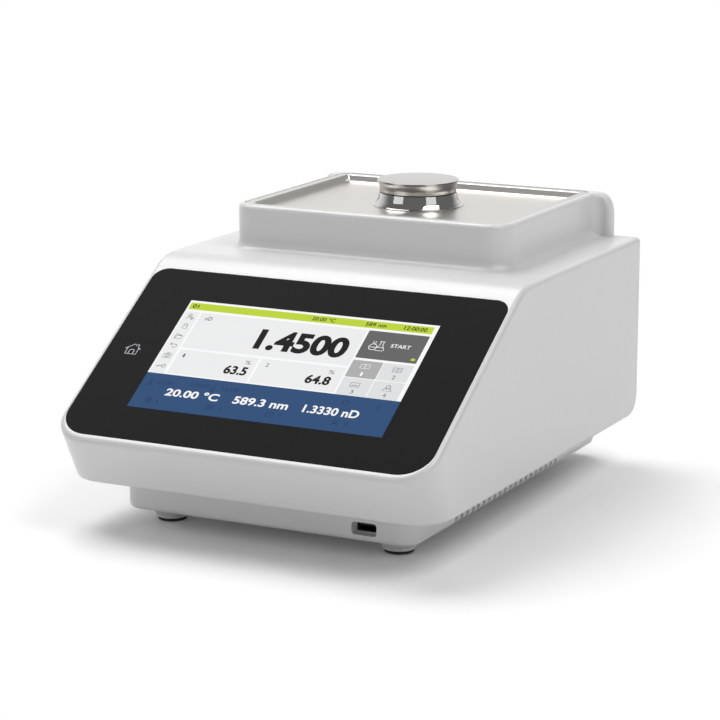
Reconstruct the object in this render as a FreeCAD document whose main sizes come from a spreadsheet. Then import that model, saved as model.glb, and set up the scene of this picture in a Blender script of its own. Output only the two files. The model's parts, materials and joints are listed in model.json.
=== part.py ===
import FreeCAD, Part
import math
import os
import Sketcher

# Benchtop refractometer: a wedge-shaped instrument with an inclined touch display, a raised
# stainless sample tray with a lift-off cover over its prism, and its electronics inside.
# Frame: X to the right as the user sees it, Y to the back, Z up, origin on the table in the
# middle of the footprint. All sizes in millimetres and degrees.

Vector = FreeCAD.Vector
Rotation = FreeCAD.Rotation
Placement = FreeCAD.Placement

doc = FreeCAD.newDocument("refractometer")
sizes = doc.addObject("Spreadsheet::Sheet", "Sizes")
places = doc.addObject("Spreadsheet::Sheet", "Places")

# Driving dimensions. The first word of each name says which piece it belongs to.
SIZES = {
    # Upper housing: side profile, then its wall
    "body_width": 225,
    "body_depth": 294,
    "body_floor": 28,
    "nose_height": 55.2,
    "face_angle": 32.93,
    "chin_angle": 28.2,
    "shoulder_height": 134.8,
    "shoulder_blend": 34,
    "rear_foot_round": 13,
    "chin_round": 20,
    "edge_round": 3,
    "wall": 3.6,
    "face_wall": 5,
    "rear_wall": 9,
    # Raised block that holds the sample tray, and the wider wall behind it
    "block_half": 86,
    "block_front": 6.8,
    "block_corner": 14,
    "rim_height": 160.2,
    "rim_width": 3.6,
    "rim_round": 2.6,
    "flange_step": 10,
    "flange_thick": 9,
    "flange_blend": 6,
    "flange_corner": 3,
    "crown_width": 3.7,
    "crown_drop": 9.7,
    "crown_round": 8.5,
    "crown_side_round": 22,
    "cove_round": 5.5,
    # Fits
    "fit_gap": 0.2,
    "slide_gap": 0.3,
    "running_gap": 0.05,
    # Cover glass, display and what holds them, along the inclined face
    "glass_width": 219,
    "glass_length": 129.9,
    "glass_border": 4.5,
    "glass_thick": 2.0,
    "glass_chamfer": 0.25,
    "glass_round_low": 17,
    "glass_round_high": 9,
    "display_width": 165,
    "display_length": 100,
    "display_low": 15,
    "display_thick": 5.7,
    "bracket_width": 188,
    "bracket_length": 112,
    "bracket_sheet": 1.5,
    "bracket_window_width": 90,
    "bracket_window_length": 50,
    "key_x": -94.5,
    "key_along": 64,
    "key_width": 18,
    "key_length": 16,
    "key_thick": 1.2,
    "boss_radius": 4.5,
    "screw_radius": 1.5,
    "screw_head_radius": 3,
    "screw_head_height": 2,
    "screw_depth": 8,
    "screw_spare": 1,
    "bracket_screw_radius": 1.05,
    "bracket_boss_radius": 3.5,
    "bracket_hole_end": 0.8,
    # Sample tray
    "plate_sink": 0.2,
    "plate_sheet": 1.0,
    "plate_depth": 3.9,
    "plate_flange": 5.3,
    "plate_slope": 2.2,
    "plate_ledge": 4.9,
    "plate_corner_rear": 8,
    "plate_rear_gap": 4.2,
    # Polished ring round the prism
    "ring_rim_radius": 26.3,
    "ring_rim_thick": 0.5,
    "ring_flare_radius": 23.7,
    "ring_flare_height": 1.9,
    "ring_flare_round": 3,
    "ring_top_radius": 22.4,
    "ring_height": 7.9,
    "ring_mouth_radius": 20.5,
    "ring_mouth_depth": 2.0,
    "ring_seat_radius": 8.8,
    "ring_throat_radius": 7.6,
    "ring_spigot_radius": 14,
    "ring_spigot_depth": 3.1,
    # Prism and its seal
    "prism_radius": 8.0,
    "prism_disc_thick": 1.5,
    "prism_depth": 7.0,
    "prism_half_top": 6.0,
    "prism_half_bottom": 3.5,
    "prism_half_length": 4.4,
    "seal_thick": 1.0,
    # Lift-off cover over the prism
    "cover_radius": 23.9,
    "cover_foot_radius": 22.4,
    "cover_waist_radius": 22.3,
    "cover_waist_height": 3.9,
    "cover_waist_round": 5,
    "cover_height": 7.1,
    "cover_rim": 1.1,
    "cover_bevel": 0.5,
    "cover_spigot_radius": 19.6,
    "cover_spigot_depth": 1.4,
    "cover_seal_width": 0.6,
    # Optical block under the tray
    "optic_width": 70,
    "optic_length": 70,
    "optic_height": 30,
    "optic_round": 3,
    "optic_chamber_radius": 9,
    "optic_chamber_depth": 12,
    "optic_bore_radius": 6,
    "optic_bore_angle": 75,
    "tube_length": 34,
    "tube_start": 26,
    "tube_bore_radius": 4.5,
    "lens_thick": 3,
    "lens_sag": 1.2,
    "lens_setback": 4,
    "lamp_length": 18,
    "lamp_start": 24,
    "led_radius": 2.5,
    "led_length": 6,
    "sensor_width": 30,
    "sensor_height": 18,
    "sensor_sheet": 1.6,
    "sensor_chip_width": 20,
    "sensor_chip_height": 6,
    "sensor_chip_thick": 1.4,
    "probe_radius": 1.5,
    "probe_depth": 20,
    "probe_length": 28,
    # Cooling
    "peltier_side": 30,
    "peltier_thick": 3.6,
    "peltier_pitch": 34,
    "sink_width": 184,
    "sink_length": 88,
    "sink_base": 5,
    "sink_round": 4,
    "sink_fin_height": 25,
    "sink_fin_thick": 1.8,
    "sink_fin_pitch": 6.2,
    "sink_fin_count": 17,
    "sink_post_x": 85,
    "sink_post_y": 37,
    "sink_post_radius": 5,
    "fan_side": 60,
    "fan_thick": 15,
    "fan_bore_radius": 28.5,
    "fan_corner": 3,
    "fan_height": 88.5,
    "fan_hole_pitch": 50,
    "fan_motor_radius": 12,
    "fan_motor_thick": 2.5,
    "fan_strut_width": 4,
    "fan_hub_radius": 11.5,
    "fan_hub_length": 9.5,
    "fan_hub_wall": 1.2,
    "fan_hub_cap": 1.5,
    "fan_shaft_radius": 1.5,
    "fan_bearing_radius": 3.2,
    "fan_bearing_length": 6.5,
    "fan_blade_radius": 27.6,
    "fan_blade_count": 7,
    "fan_blade_thick": 1.1,
    "fan_blade_root": 9,
    "fan_blade_tip": 11,
    "fan_root_pitch": 48,
    "fan_tip_pitch": 33,
    # Lower housing
    "base_half": 88.5,
    "base_front": 36.0,
    "base_rear_gap": 3,
    "base_height": 8.65,
    "base_wall": 2.5,
    "base_corner": 10,
    "base_edge": 3.2,
    "base_flange": 2.5,
    "vent_width": 3.4,
    "vent_pitch": 7.2,
    "vent_count": 20,
    "vent_start": -60,
    "vent_top": 24,
    "vent_reach": 3.5,
    "foot_x": 69.7,
    "foot_rear_x": 60,
    "foot_front": 57.2,
    "foot_rear": 51,
    "foot_top_radius": 13.4,
    "foot_tip_radius": 9.2,
    "foot_tip_height": 1.8,
    "foot_round": 0.8,
    "foot_pad_radius": 8,
    "foot_pad_proud": 1.8,
    "foot_pad_thick": 3.3,
    "case_screw_inset": 7.9,
    "case_screw_front": 40,
    "case_screw_middle": 14,
    "case_screw_rear": 22,
    "case_boss_height": 26,
    # Front USB socket in its recess
    "port_x": 59.4,
    "port_low": 12.3,
    "port_width": 14.7,
    "port_height": 7.1,
    "port_depth": 5.6,
    "port_round": 1.8,
    "port_frame": 2.6,
    "port_plate": 2.0,
    "usb_width": 13.2,
    "usb_height": 5.7,
    "usb_length": 14,
    "usb_wall": 0.4,
    "usb_tongue": 1.8,
    "usb_rise": 0.9,
    "usb_back": 3,
    "usb_tongue_inset": 1,
    "usb_tongue_rise": 0.2,
    "usb_board_sheet": 1.6,
    "usb_board_reach": 6,
    # Boards in the lower housing
    "standoff_height": 6,
    "standoff_radius": 3.5,
    "board_sheet": 1.6,
    "main_board_half": 75,
    "main_board_front": 62,
    "main_board_length": 105,
    "power_board_half": 70,
    "power_board_front": 178,
    "power_board_length": 72,
    "board_inset": 5,
    "board_round": 3,
    # Rear panel and its sockets
    "panel_half": 94,
    "panel_low": 38,
    "panel_high": 126,
    "panel_corner": 5,
    "panel_depth": 6,
    "panel_sheet": 2.5,
    "panel_ledge": 6,
    "panel_screw_inset": 3.2,
    "panel_screw_radius": 1.2,
    "panel_head_radius": 2.4,
    "panel_head_height": 1.6,
    "grille_slot": 3.2,
    "grille_pitch": 6.4,
    "grille_count": 8,
    "inlet_x": 64,
    "inlet_z": 62,
    "inlet_width": 27.5,
    "inlet_height": 20,
    "inlet_flange": 2.2,
    "inlet_proud": 2.0,
    "inlet_length": 24,
    "inlet_depth": 16,
    "inlet_wall": 2.2,
    "inlet_corner": 4,
    "pin_width": 2,
    "pin_height": 4,
    "pin_reach": 12,
    "pin_pitch": 7,
    "pin_drop": 2,
    "switch_x": 64,
    "switch_z": 92,
    "switch_width": 13.5,
    "switch_height": 19.5,
    "switch_flange": 1.7,
    "switch_proud": 1.5,
    "switch_length": 16,
    "switch_wall": 1.4,
    "rocker_gap": 0.35,
    "rocker_tilt": 8,
    "rocker_depth": 7,
    "rocker_pin_radius": 1.2,
    "rocker_setback": 2.2,
    "rocker_dip": 1.0,
    "rocker_horn": 1.2,
    "rocker_heel": 2,
    "rocker_lip": 0.5,
    "rocker_draft": 0.24,
    "rocker_round": 0.6,
    "rocker_hollow_round": 12,
    "io_board_z": 42.6,
    "io_board_left": -84,
    "io_board_width": 110,
    "io_board_length": 32,
    "lan_x": 6,
    "lan_width": 16.2,
    "lan_height": 13.6,
    "lan_length": 21,
    "lan_wall": 1.2,
    "usb_rear_x": -16,
    "usb_rear_pitch": 18,
    "serial_x": -63,
    "serial_width": 30.8,
    "serial_height": 12.5,
    "serial_shell_width": 17,
    "serial_shell_height": 8.4,
    "serial_shell_reach": 3,
    "serial_shell_wall": 0.6,
    "serial_shell_taper": 1.2,
    "serial_shell_round": 1.5,
    "serial_length": 12,
    "serial_pin_radius": 0.5,
    "serial_pin_pitch": 2.76,
    "serial_pin_rise": 1.4,
}

# Components on the boards: width, length, height, left edge, distance from the board's front edge
# and height over the board.
COMPONENT_SIZES = ("width", "length", "height", "left", "front", "rise")
MAIN_BOARD_PARTS = {
    "processor": (27, 27, 2.4, -30, 30, 0),
    "processor_cooler": (25, 25, 8, -29, 31, 2.4),
    "memory_chip_a": (12, 9, 1.2, 8, 28, 0),
    "memory_chip_b": (12, 9, 1.2, 8, 44, 0),
    "display_connector": (32, 5, 4, -16, 6, 0),
    "buzzer": (12, 12, 7, 42, 74, 0),
    "wire_header": (5, 30, 8, 62, 30, 0),
}
POWER_BOARD_PARTS = {
    "transformer": (34, 30, 28, -50, 10, 0),
    "mains_capacitor": (22, 22, 26, -6, 13, 0),
    "output_capacitor_a": (12, 12, 18, 26, 10, 0),
    "output_capacitor_b": (12, 12, 18, 41, 10, 0),
    "line_filter": (24, 16, 20, 24, 30, 0),
    "fuse_holder": (24, 9, 9, -50, 48, 0),
}
ROUND_PARTS = ("buzzer", "mains_capacitor", "output_capacitor_a", "output_capacitor_b")
for part_name, numbers in {**MAIN_BOARD_PARTS, **POWER_BOARD_PARTS}.items():
    for size_name, number in zip(COMPONENT_SIZES, numbers):
        SIZES[part_name + "_" + size_name] = number

# Places worked out from the sizes: rows of name and formula, in the same frame.
PLACES = {
    "rear": "=Sizes.body_depth / 2",
    "side": "=Sizes.body_width / 2",
    "nose_y": "=-Sizes.body_depth / 2 - Sizes.edge_round * ((sin(Sizes.chin_angle) + cos(Sizes.face_angle))"
              " / cos(Sizes.face_angle - Sizes.chin_angle) - 1)",
    "face_top_y": "=nose_y + (Sizes.shoulder_height - Sizes.nose_height) / tan(Sizes.face_angle)",
    "chin_foot_y": "=nose_y + (Sizes.nose_height - Sizes.body_floor) * tan(Sizes.chin_angle)",
    "roof": "=Sizes.shoulder_height - Sizes.wall",
    "inner_side": "=side - Sizes.wall",
    "inner_rear": "=rear - Sizes.rear_wall",
    "inner_low": "=Sizes.body_floor - 1",
    "inner_face_drop": "=Sizes.face_wall / cos(Sizes.face_angle)",
    "inner_chin_shift": "=Sizes.wall / cos(Sizes.chin_angle)",
    "inner_nose_z": "=Sizes.nose_height + (inner_chin_shift * tan(Sizes.face_angle) - inner_face_drop)"
                    " / (1 + tan(Sizes.face_angle) * tan(Sizes.chin_angle))",
    "inner_nose_y": "=nose_y + (Sizes.nose_height - inner_nose_z) * tan(Sizes.chin_angle) + inner_chin_shift",
    "inner_face_top_y": "=nose_y + (roof - Sizes.nose_height + inner_face_drop) / tan(Sizes.face_angle)",
    "inner_foot_y": "=nose_y + (Sizes.nose_height - inner_low) * tan(Sizes.chin_angle) + inner_chin_shift",
    "flange_half": "=Sizes.block_half + Sizes.flange_step",
    "flange_front": "=rear - Sizes.flange_thick",
    "glass_y": "=nose_y + Sizes.glass_border * cos(Sizes.face_angle)",
    "glass_z": "=Sizes.nose_height + Sizes.glass_border * sin(Sizes.face_angle)",
    "bracket_top": "=-Sizes.glass_thick - Sizes.display_thick",
    "bracket_low": "=Sizes.display_low + Sizes.display_length / 2 - Sizes.bracket_length / 2",
    "bracket_high": "=bracket_low + Sizes.bracket_length",
    "bracket_screw_x": "=Sizes.bracket_width / 2 - Sizes.boss_radius",
    "bracket_screw_low": "=bracket_low + Sizes.bracket_length / 8",
    "bracket_screw_high": "=bracket_high - Sizes.bracket_length / 8",
    "plate_half": "=Sizes.block_half - Sizes.rim_width",
    "plate_front": "=Sizes.block_front + Sizes.rim_width",
    "plate_rear": "=rear - Sizes.plate_rear_gap",
    "plate_corner": "=Sizes.block_corner - Sizes.rim_width",
    "plate_top": "=Sizes.rim_height - Sizes.plate_sink",
    "plate_floor": "=plate_top - Sizes.plate_depth",
    "plate_under": "=plate_floor - Sizes.plate_sheet",
    "prism_y": "=(plate_front + plate_rear) / 2",
    "prism_top": "=plate_floor",
    "prism_step": "=prism_top - Sizes.prism_disc_thick",
    "ring_top": "=plate_floor + Sizes.ring_height",
    "ring_foot": "=plate_floor + Sizes.ring_rim_thick",
    "ring_bottom": "=plate_under - Sizes.ring_spigot_depth",
    "cover_top": "=ring_top + Sizes.cover_height",
    "optic_bottom": "=plate_under - Sizes.optic_height",
    "optic_centre": "=ring_bottom - Sizes.prism_depth / 2",
    "sink_top": "=optic_bottom - Sizes.peltier_thick",
    "sink_bottom": "=sink_top - Sizes.sink_base",
    "fan_rear": "=rear - Sizes.panel_depth",
    "fan_front": "=fan_rear - Sizes.fan_thick",
    "base_front_y": "=-Sizes.body_depth / 2 + Sizes.base_front",
    "base_rear_y": "=rear - Sizes.base_rear_gap",
    "base_floor": "=Sizes.base_height + Sizes.base_wall",
    "flange_top": "=Sizes.body_floor + Sizes.base_flange",
    "flange_y": "=inner_foot_y + Sizes.slide_gap",
    "foot_front_y": "=-Sizes.body_depth / 2 + Sizes.foot_front",
    "foot_rear_y": "=rear - Sizes.foot_rear",
    "case_screw_x": "=side - Sizes.case_screw_inset",
    "board_low": "=base_floor + Sizes.standoff_height",
    "board_top": "=board_low + Sizes.board_sheet",
    "main_front_y": "=-Sizes.body_depth / 2 + Sizes.main_board_front",
    "power_front_y": "=-Sizes.body_depth / 2 + Sizes.power_board_front",
    "panel_rear": "=rear - Sizes.panel_depth + Sizes.panel_sheet",
    "panel_front": "=rear - Sizes.panel_depth",
    "io_top": "=Sizes.io_board_z + Sizes.board_sheet",
    "io_rear_y": "=inner_rear - Sizes.slide_gap",
    "port_back_y": "=base_front_y + Sizes.port_depth",
    "port_mid_z": "=Sizes.port_low + Sizes.usb_rise + Sizes.usb_height / 2",
}


def fill_sheets():
    """Write the driving sizes as plain numbers and the places as formulas, each with its alias."""
    for row, (name, number) in enumerate(SIZES.items(), 1):
        sizes.set("A%d" % row, name)
        sizes.set("B%d" % row, str(number))
        sizes.setAlias("B%d" % row, name)
    doc.recompute()
    for row, (name, formula) in enumerate(PLACES.items(), 1):
        places.setAlias("B%d" % row, name)
        places.set("A%d" % row, name)
        places.set("B%d" % row, formula)
    doc.recompute()


fill_sheets()


def sized(text):
    """Turn names of sizes and places into sheet references, so that expressions read shortly."""
    words = []
    word = ""
    for letter in str(text) + " ":
        if letter.isalnum() or letter == "_":
            word += letter
            continue
        if word in SIZES:
            word = "Sizes." + word
        elif word in PLACES:
            word = "Places." + word
        words.append(word + letter)
        word = ""
    return "".join(words).strip()


def value(text):
    """The number that an expression has now."""
    result = sizes.evalExpression(sized(text))
    return float(getattr(result, "Value", result))


def bind(item, **expressions):
    """Tie properties to expressions. A double underscore in a name stands for a dot."""
    for name, text in expressions.items():
        item.setExpression(name.replace("__", "."), sized(text))


# Sketch planes: the origin plane's role, and the sense of its normal along the model axis.
PLANES = {"XY": ("XY_Plane", 1), "XZ": ("XZ_Plane", -1), "YZ": ("YZ_Plane", 1), "FACE": ("XY_Plane", 1)}


def new_sketch(body, name, plane, start, origin=("0", "0")):
    """A sketch on a body's own origin plane, moved by start along the model axis.

    FACE is the inclined display face: its sketch X is the model's, its Y climbs the slope from
    the lower edge of the glass, and start is the height over the face.
    """
    sketch = body.newObject("Sketcher::SketchObject", name)
    role, sense = PLANES[plane]
    support = [item for item in body.Origin.OriginFeatures if item.Role == role][0]
    sketch.AttachmentSupport = [(support, "")]
    sketch.MapMode = "FlatFace"
    if plane == "FACE":
        sketch.AttachmentOffset = Placement(Vector(0, 0, 0), Rotation(Vector(1, 0, 0), value("face_angle")))
        bind(sketch, AttachmentOffset__Rotation__Angle="face_angle",
             AttachmentOffset__Base__y="glass_y - (%s) * sin(face_angle)" % start,
             AttachmentOffset__Base__z="glass_z + (%s) * cos(face_angle)" % start)
        return sketch
    along = start if sense > 0 else "-(%s)" % start
    bind(sketch, AttachmentOffset__Base__x=origin[0], AttachmentOffset__Base__y=origin[1],
         AttachmentOffset__Base__z=along)
    return sketch


def hold_point(sketch, geometry, end, across, up):
    """Fix a sketch point by its two distances from the sketch's origin."""
    for kind, text in (("DistanceX", across), ("DistanceY", up)):
        index = sketch.addConstraint(Sketcher.Constraint(kind, -1, 1, geometry, end, value(text)))
        sketch.setExpression("Constraints[%d]" % index, sized(text))


def draw_outline(sketch, corners):
    """Draw a closed outline. A corner is (across, up) or (across, up, rounding radius)."""
    count = len(corners)
    points = [Vector(value(corner[0]), value(corner[1]), 0) for corner in corners]
    starts = []
    ends = []
    centres = {}
    for index, corner in enumerate(corners):
        point = points[index]
        back = (points[index - 1] - point).normalize()
        ahead = (points[(index + 1) % count] - point).normalize()
        if len(corner) < 3:
            ends.append(point)
            starts.append(point)
            continue
        radius = value(corner[2])
        half = back.getAngle(ahead) / 2
        setback = radius / math.tan(half)
        ends.append(point + back * setback)
        starts.append(point + ahead * setback)
        centres[index] = point + (back + ahead).normalize() * (radius / math.sin(half))
    lines = []
    for index in range(count):
        side = Part.LineSegment(starts[index], ends[(index + 1) % count])
        lines.append(sketch.addGeometry(side))
    for index, corner in enumerate(corners):
        before = lines[index - 1]
        after = lines[index]
        if index not in centres:
            sketch.addConstraint(Sketcher.Constraint("Coincident", before, 2, after, 1))
            hold_point(sketch, after, 1, corner[0], corner[1])
            continue
        centre = centres[index]
        spoke_in = ends[index] - centre
        spoke_out = starts[index] - centre
        circle = Part.Circle(centre, Vector(0, 0, 1), value(corner[2]))
        angles = [math.atan2(spoke.y, spoke.x) for spoke in (spoke_in, spoke_out)]
        turns_left = spoke_in.cross(spoke_out).z > 0
        if not turns_left:
            angles.reverse()
        arc = sketch.addGeometry(Part.ArcOfCircle(circle, angles[0], angles[1]))
        first, last = (1, 2) if turns_left else (2, 1)
        sketch.addConstraint(Sketcher.Constraint("Tangent", before, 2, arc, first))
        sketch.addConstraint(Sketcher.Constraint("Tangent", after, 1, arc, last))
        held = sketch.addConstraint(Sketcher.Constraint("Radius", arc, value(corner[2])))
        sketch.setExpression("Constraints[%d]" % held, sized(corner[2]))
        corner_point = sketch.addGeometry(Part.Point(points[index]), True)
        sketch.addConstraint(Sketcher.Constraint("PointOnObject", corner_point, 1, before))
        sketch.addConstraint(Sketcher.Constraint("PointOnObject", corner_point, 1, after))
        hold_point(sketch, corner_point, 1, corner[0], corner[1])


def draw_circle(sketch, across, up, radius):
    """Draw a circle whose centre and radius follow expressions."""
    centre = Vector(value(across), value(up), 0)
    geometry = sketch.addGeometry(Part.Circle(centre, Vector(0, 0, 1), value(radius)))
    hold_point(sketch, geometry, 3, across, up)
    held = sketch.addConstraint(Sketcher.Constraint("Radius", geometry, value(radius)))
    sketch.setExpression("Constraints[%d]" % held, sized(radius))


def finish_feature(body, feature, before):
    """Recompute, and stop if a pad or revolution added nothing or a pocket or groove cut nothing."""
    doc.recompute()
    added = feature.Shape.Volume - before
    if feature.TypeId in ("PartDesign::Pocket", "PartDesign::Groove"):
        added = -added
    if added <= 0:
        raise RuntimeError("%s in %s changes nothing" % (feature.Label, body.Label))
    return feature


def volume_of(body):
    return body.Tip.Shape.Volume if body.Tip else 0


def extrude(body, kind, name, plane, low, high, outlines=(), circles=()):
    """Pad or Pocket of outlines and circles (across, up, radius), from low to high along the axis."""
    before = volume_of(body)
    start = low if PLANES[plane][1] > 0 else high
    sketch = new_sketch(body, name + "_sketch", plane, start)
    for corners in outlines:
        draw_outline(sketch, corners)
    for across, up, radius in circles:
        draw_circle(sketch, across, up, radius)
    feature = body.newObject("PartDesign::" + kind, name)
    feature.Profile = sketch
    feature.Reversed = kind == "Pocket"
    bind(feature, Length="(%s) - (%s)" % (high, low))
    return finish_feature(body, feature, before)


def turn(body, kind, name, plane, axis, corners, centre=("0", "0"), level="0"):
    """Revolution or Groove of an outline round its sketch's own axis, H_Axis or V_Axis."""
    before = volume_of(body)
    sketch = new_sketch(body, name + "_sketch", plane, level, centre)
    draw_outline(sketch, corners)
    feature = body.newObject("PartDesign::" + kind, name)
    feature.Profile = sketch
    feature.ReferenceAxis = (sketch, [axis])
    return finish_feature(body, feature, before)


def soften(body, kind, name, size, wanted):
    """Fillet or Chamfer the edges of the body so far that the test picks."""
    tip = body.Tip
    edges = ["Edge%d" % (index + 1) for index, edge in enumerate(tip.Shape.Edges) if wanted(edge)]
    feature = body.newObject("PartDesign::" + kind, name)
    feature.Base = (tip, edges)
    bind(feature, **{"Radius" if kind == "Fillet" else "Size": size})
    doc.recompute()
    return feature


def repeat(body, name, feature, axis_role, count, length):
    """Linear pattern of one feature along one of the body's own axes."""
    axis = [item for item in body.Origin.OriginFeatures if item.Role == axis_role][0]
    pattern = body.newObject("PartDesign::LinearPattern", name)
    pattern.Originals = [feature]
    pattern.Direction = (axis, [""])
    bind(pattern, Occurrences=count, Length=length)
    body.Tip = pattern
    doc.recompute()
    return pattern


def is_sharp(shape, edge):
    """True where the two faces at an edge meet at an angle, and don't run on smoothly."""
    faces = shape.ancestorsOfType(edge, Part.Face)
    if len(faces) < 2:
        return False
    middle = edge.valueAt((edge.FirstParameter + edge.LastParameter) / 2)
    normals = [face.normalAt(*face.Surface.parameter(middle)) for face in faces[:2]]
    return normals[0].getAngle(normals[1]) > math.radians(5)


def near(first, second):
    return abs(first - second) < 0.02


def rectangle(left, right, low, high, radius=None):
    """The four corners of a rectangle, rounded where a radius is given."""
    corners = [(left, low), (right, low), (right, high), (left, high)]
    return [corner + (radius,) for corner in corners] if radius else corners


def frame_of(name):
    body = doc.addObject("PartDesign::Body", name)
    body.Label = name
    return body


NODES = []


def keep(item):
    """Note an object as a finished sub-part; its Label names its file."""
    NODES.append(item)
    return item


# Ready-made turns for pieces that don't stand upright.
TURNS = {"Z": (Vector(0, 0, 1), 0), "Y": (Vector(1, 0, 0), -90), "-Y": (Vector(1, 0, 0), 90),
         "-Z": (Vector(1, 0, 0), 180)}


def put(item, at, along="Z"):
    """Place a primitive: at is three expressions, along is where its own Z axis points."""
    if along == "FACE":
        item.Placement = Placement(Vector(0, 0, 0), Rotation(Vector(1, 0, 0), value("face_angle")))
        bind(item, Placement__Rotation__Angle="face_angle",
             Placement__Base__x=at[0],
             Placement__Base__y="glass_y + (%s) * cos(face_angle) - (%s) * sin(face_angle)" % (at[1], at[2]),
             Placement__Base__z="glass_z + (%s) * sin(face_angle) + (%s) * cos(face_angle)" % (at[1], at[2]))
        return item
    axis, angle = TURNS[along]
    item.Placement = Placement(Vector(0, 0, 0), Rotation(axis, angle))
    bind(item, Placement__Base__x=at[0], Placement__Base__y=at[1], Placement__Base__z=at[2])
    return item


def cylinder(name, radius, height, at, along="Z"):
    item = doc.addObject("Part::Cylinder", name)
    bind(item, Radius=radius, Height=height)
    return put(item, at, along)


def box(name, width, length, height, at, along="Z"):
    item = doc.addObject("Part::Box", name)
    bind(item, Length=width, Width=length, Height=height)
    return put(item, at, along)


def fuse(name, items):
    joined = doc.addObject("Part::MultiFuse", name)
    joined.Shapes = items
    return joined


def group(name, items):
    """Separate solids in one node, such as a set of like screws."""
    gathered = doc.addObject("Part::Compound", name)
    gathered.Links = items
    return keep(gathered)


def screws(name, spots, along, head_radius="screw_head_radius", head_height="screw_head_height",
           shank_radius="screw_radius", shank_length="screw_depth"):
    """A set of pan-head screws. A spot is the point under the head; along is where the shank goes."""
    opposite = {"Z": (0, 0, -1), "-Z": (0, 0, 1), "-Y": (0, 1, 0), "FACE": (0, 0, -1)}[along]
    items = []
    for index, spot in enumerate(spots):
        base = ["%s + (%d) * (%s)" % (part, step, head_height) for part, step in zip(spot, opposite)]
        head = cylinder("%s_head_%d" % (name, index), head_radius, head_height, base, along)
        shank = cylinder("%s_shank_%d" % (name, index), shank_radius, shank_length, spot, along)
        items.append(fuse("%s_%d" % (name, index), [head, shank]))
    return group(name, items)


def both_sides(across):
    return (across, "-(%s)" % across)


# Spots that several pieces share
CASE_SCREW_ROWS = ("flange_y + case_screw_front", "case_screw_middle", "inner_rear - case_screw_rear")
CASE_SCREW_SPOTS = [(x, y) for x in both_sides("case_screw_x") for y in CASE_SCREW_ROWS]
SINK_SPOTS = [(x, "prism_y + (%s)" % y) for x in both_sides("sink_post_x") for y in both_sides("sink_post_y")]
BRACKET_SPOTS = [(x, s) for x in both_sides("bracket_screw_x")
                 for s in ("bracket_screw_low", "bracket_screw_high")]
PANEL_SPOTS = [(x, z) for x in both_sides("panel_half - panel_screw_inset")
               for z in ("panel_low + panel_screw_inset", "panel_high - panel_screw_inset")]
MAIN_BOARD_SPOTS = [(x, y) for x in both_sides("main_board_half - board_inset")
                    for y in ("main_front_y + board_inset", "main_front_y + main_board_length - board_inset")]
POWER_BOARD_ROWS = ("power_front_y + board_inset", "power_front_y + power_board_length - board_inset")
POWER_BOARD_SPOTS = [(x, y) for x in both_sides("power_board_half - board_inset") for y in POWER_BOARD_ROWS]
IO_BOARD_SPOTS = [(x, "io_rear_y - io_board_length + board_inset")
                  for x in ("io_board_left + board_inset", "io_board_left + io_board_width - board_inset")]
FOOT_SPOTS = [(x, "foot_front_y") for x in both_sides("foot_x")]
FOOT_SPOTS += [(x, "foot_rear_y") for x in both_sides("foot_rear_x")]
FAN_SPOTS = [(x, "fan_height + (%s)" % z) for x in both_sides("fan_hole_pitch / 2")
             for z in both_sides("fan_hole_pitch / 2")]


def make_upper_housing():
    """The white upper shell: wedge, chin, shoulder, raised tray block, rear wall and inner bosses."""
    body = frame_of("upper_housing")
    extrude(body, "Pad", "wedge", "YZ", "-side", "side", [[
        ("nose_y", "nose_height"),
        ("face_top_y", "shoulder_height", "shoulder_blend"),
        ("rear", "shoulder_height"),
        ("rear", "body_floor", "rear_foot_round"),
        ("chin_foot_y", "body_floor")]])
    extrude(body, "Pocket", "cavity", "YZ", "-inner_side", "inner_side", [[
        ("inner_nose_y", "inner_nose_z"),
        ("inner_face_top_y", "roof", "shoulder_blend - wall"),
        ("inner_rear", "roof"),
        ("inner_rear", "inner_low"),
        ("inner_foot_y", "inner_low")]])
    chin_lean = math.cos(math.radians(value("chin_angle")))

    def on_chin(edge, across):
        if edge.Curve.TypeId != "Part::GeomLine":
            return False
        lean = abs(edge.tangentAt(edge.FirstParameter).z)
        return near(abs(edge.CenterOfMass.x), across) and abs(lean - chin_lean) < 0.001

    soften(body, "Fillet", "chin_inner_corners", "chin_round - wall",
           lambda e: on_chin(e, value("inner_side")))
    soften(body, "Fillet", "chin_corners", "chin_round", lambda e: on_chin(e, value("side")))
    extrude(body, "Pad", "tray_block", "XY", "shoulder_height - wall / 2", "rim_height", [[
        ("-block_half", "block_front", "block_corner"),
        ("block_half", "block_front", "block_corner"),
        ("block_half", "rear"),
        ("-block_half", "rear")]])
    soften(body, "Fillet", "block_cove", "cove_round", at_block_foot)
    extrude(body, "Pad", "rear_wings", "XY", "shoulder_height - wall / 2", "rim_height", [[
        ("block_half", "flange_front", "flange_blend"),
        ("flange_half", "flange_front", "flange_corner"),
        ("flange_half", "rear"),
        ("-flange_half", "rear"),
        ("-flange_half", "flange_front", "flange_corner"),
        ("-block_half", "flange_front", "flange_blend"),
        ("-block_half", "flange_front - flange_blend - 1"),
        ("block_half", "flange_front - flange_blend - 1")]])
    for name, sense in (("right", "1"), ("left", "-1")):
        inner = "%s * (block_half + fit_gap)" % sense
        top_corner = "%s * (flange_half - crown_width)" % sense
        edge = "%s * flange_half" % sense
        outer = "%s * (flange_half + flange_step)" % sense
        low = "rim_height - crown_drop * 2"
        above = "rim_height + crown_drop"
        extrude(body, "Pocket", "crown_" + name, "XZ", "flange_front - flange_blend - 1", "rear + 1", [[
            (inner, "rim_height"), (top_corner, "rim_height", "crown_round"),
            (edge, "rim_height - crown_drop", "crown_side_round"), (edge, low),
            (outer, low), (outer, above), (inner, above)]])
    round_housing(body)
    cut_housing_seats(body)
    add_housing_bosses(body)
    return keep(body)


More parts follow.
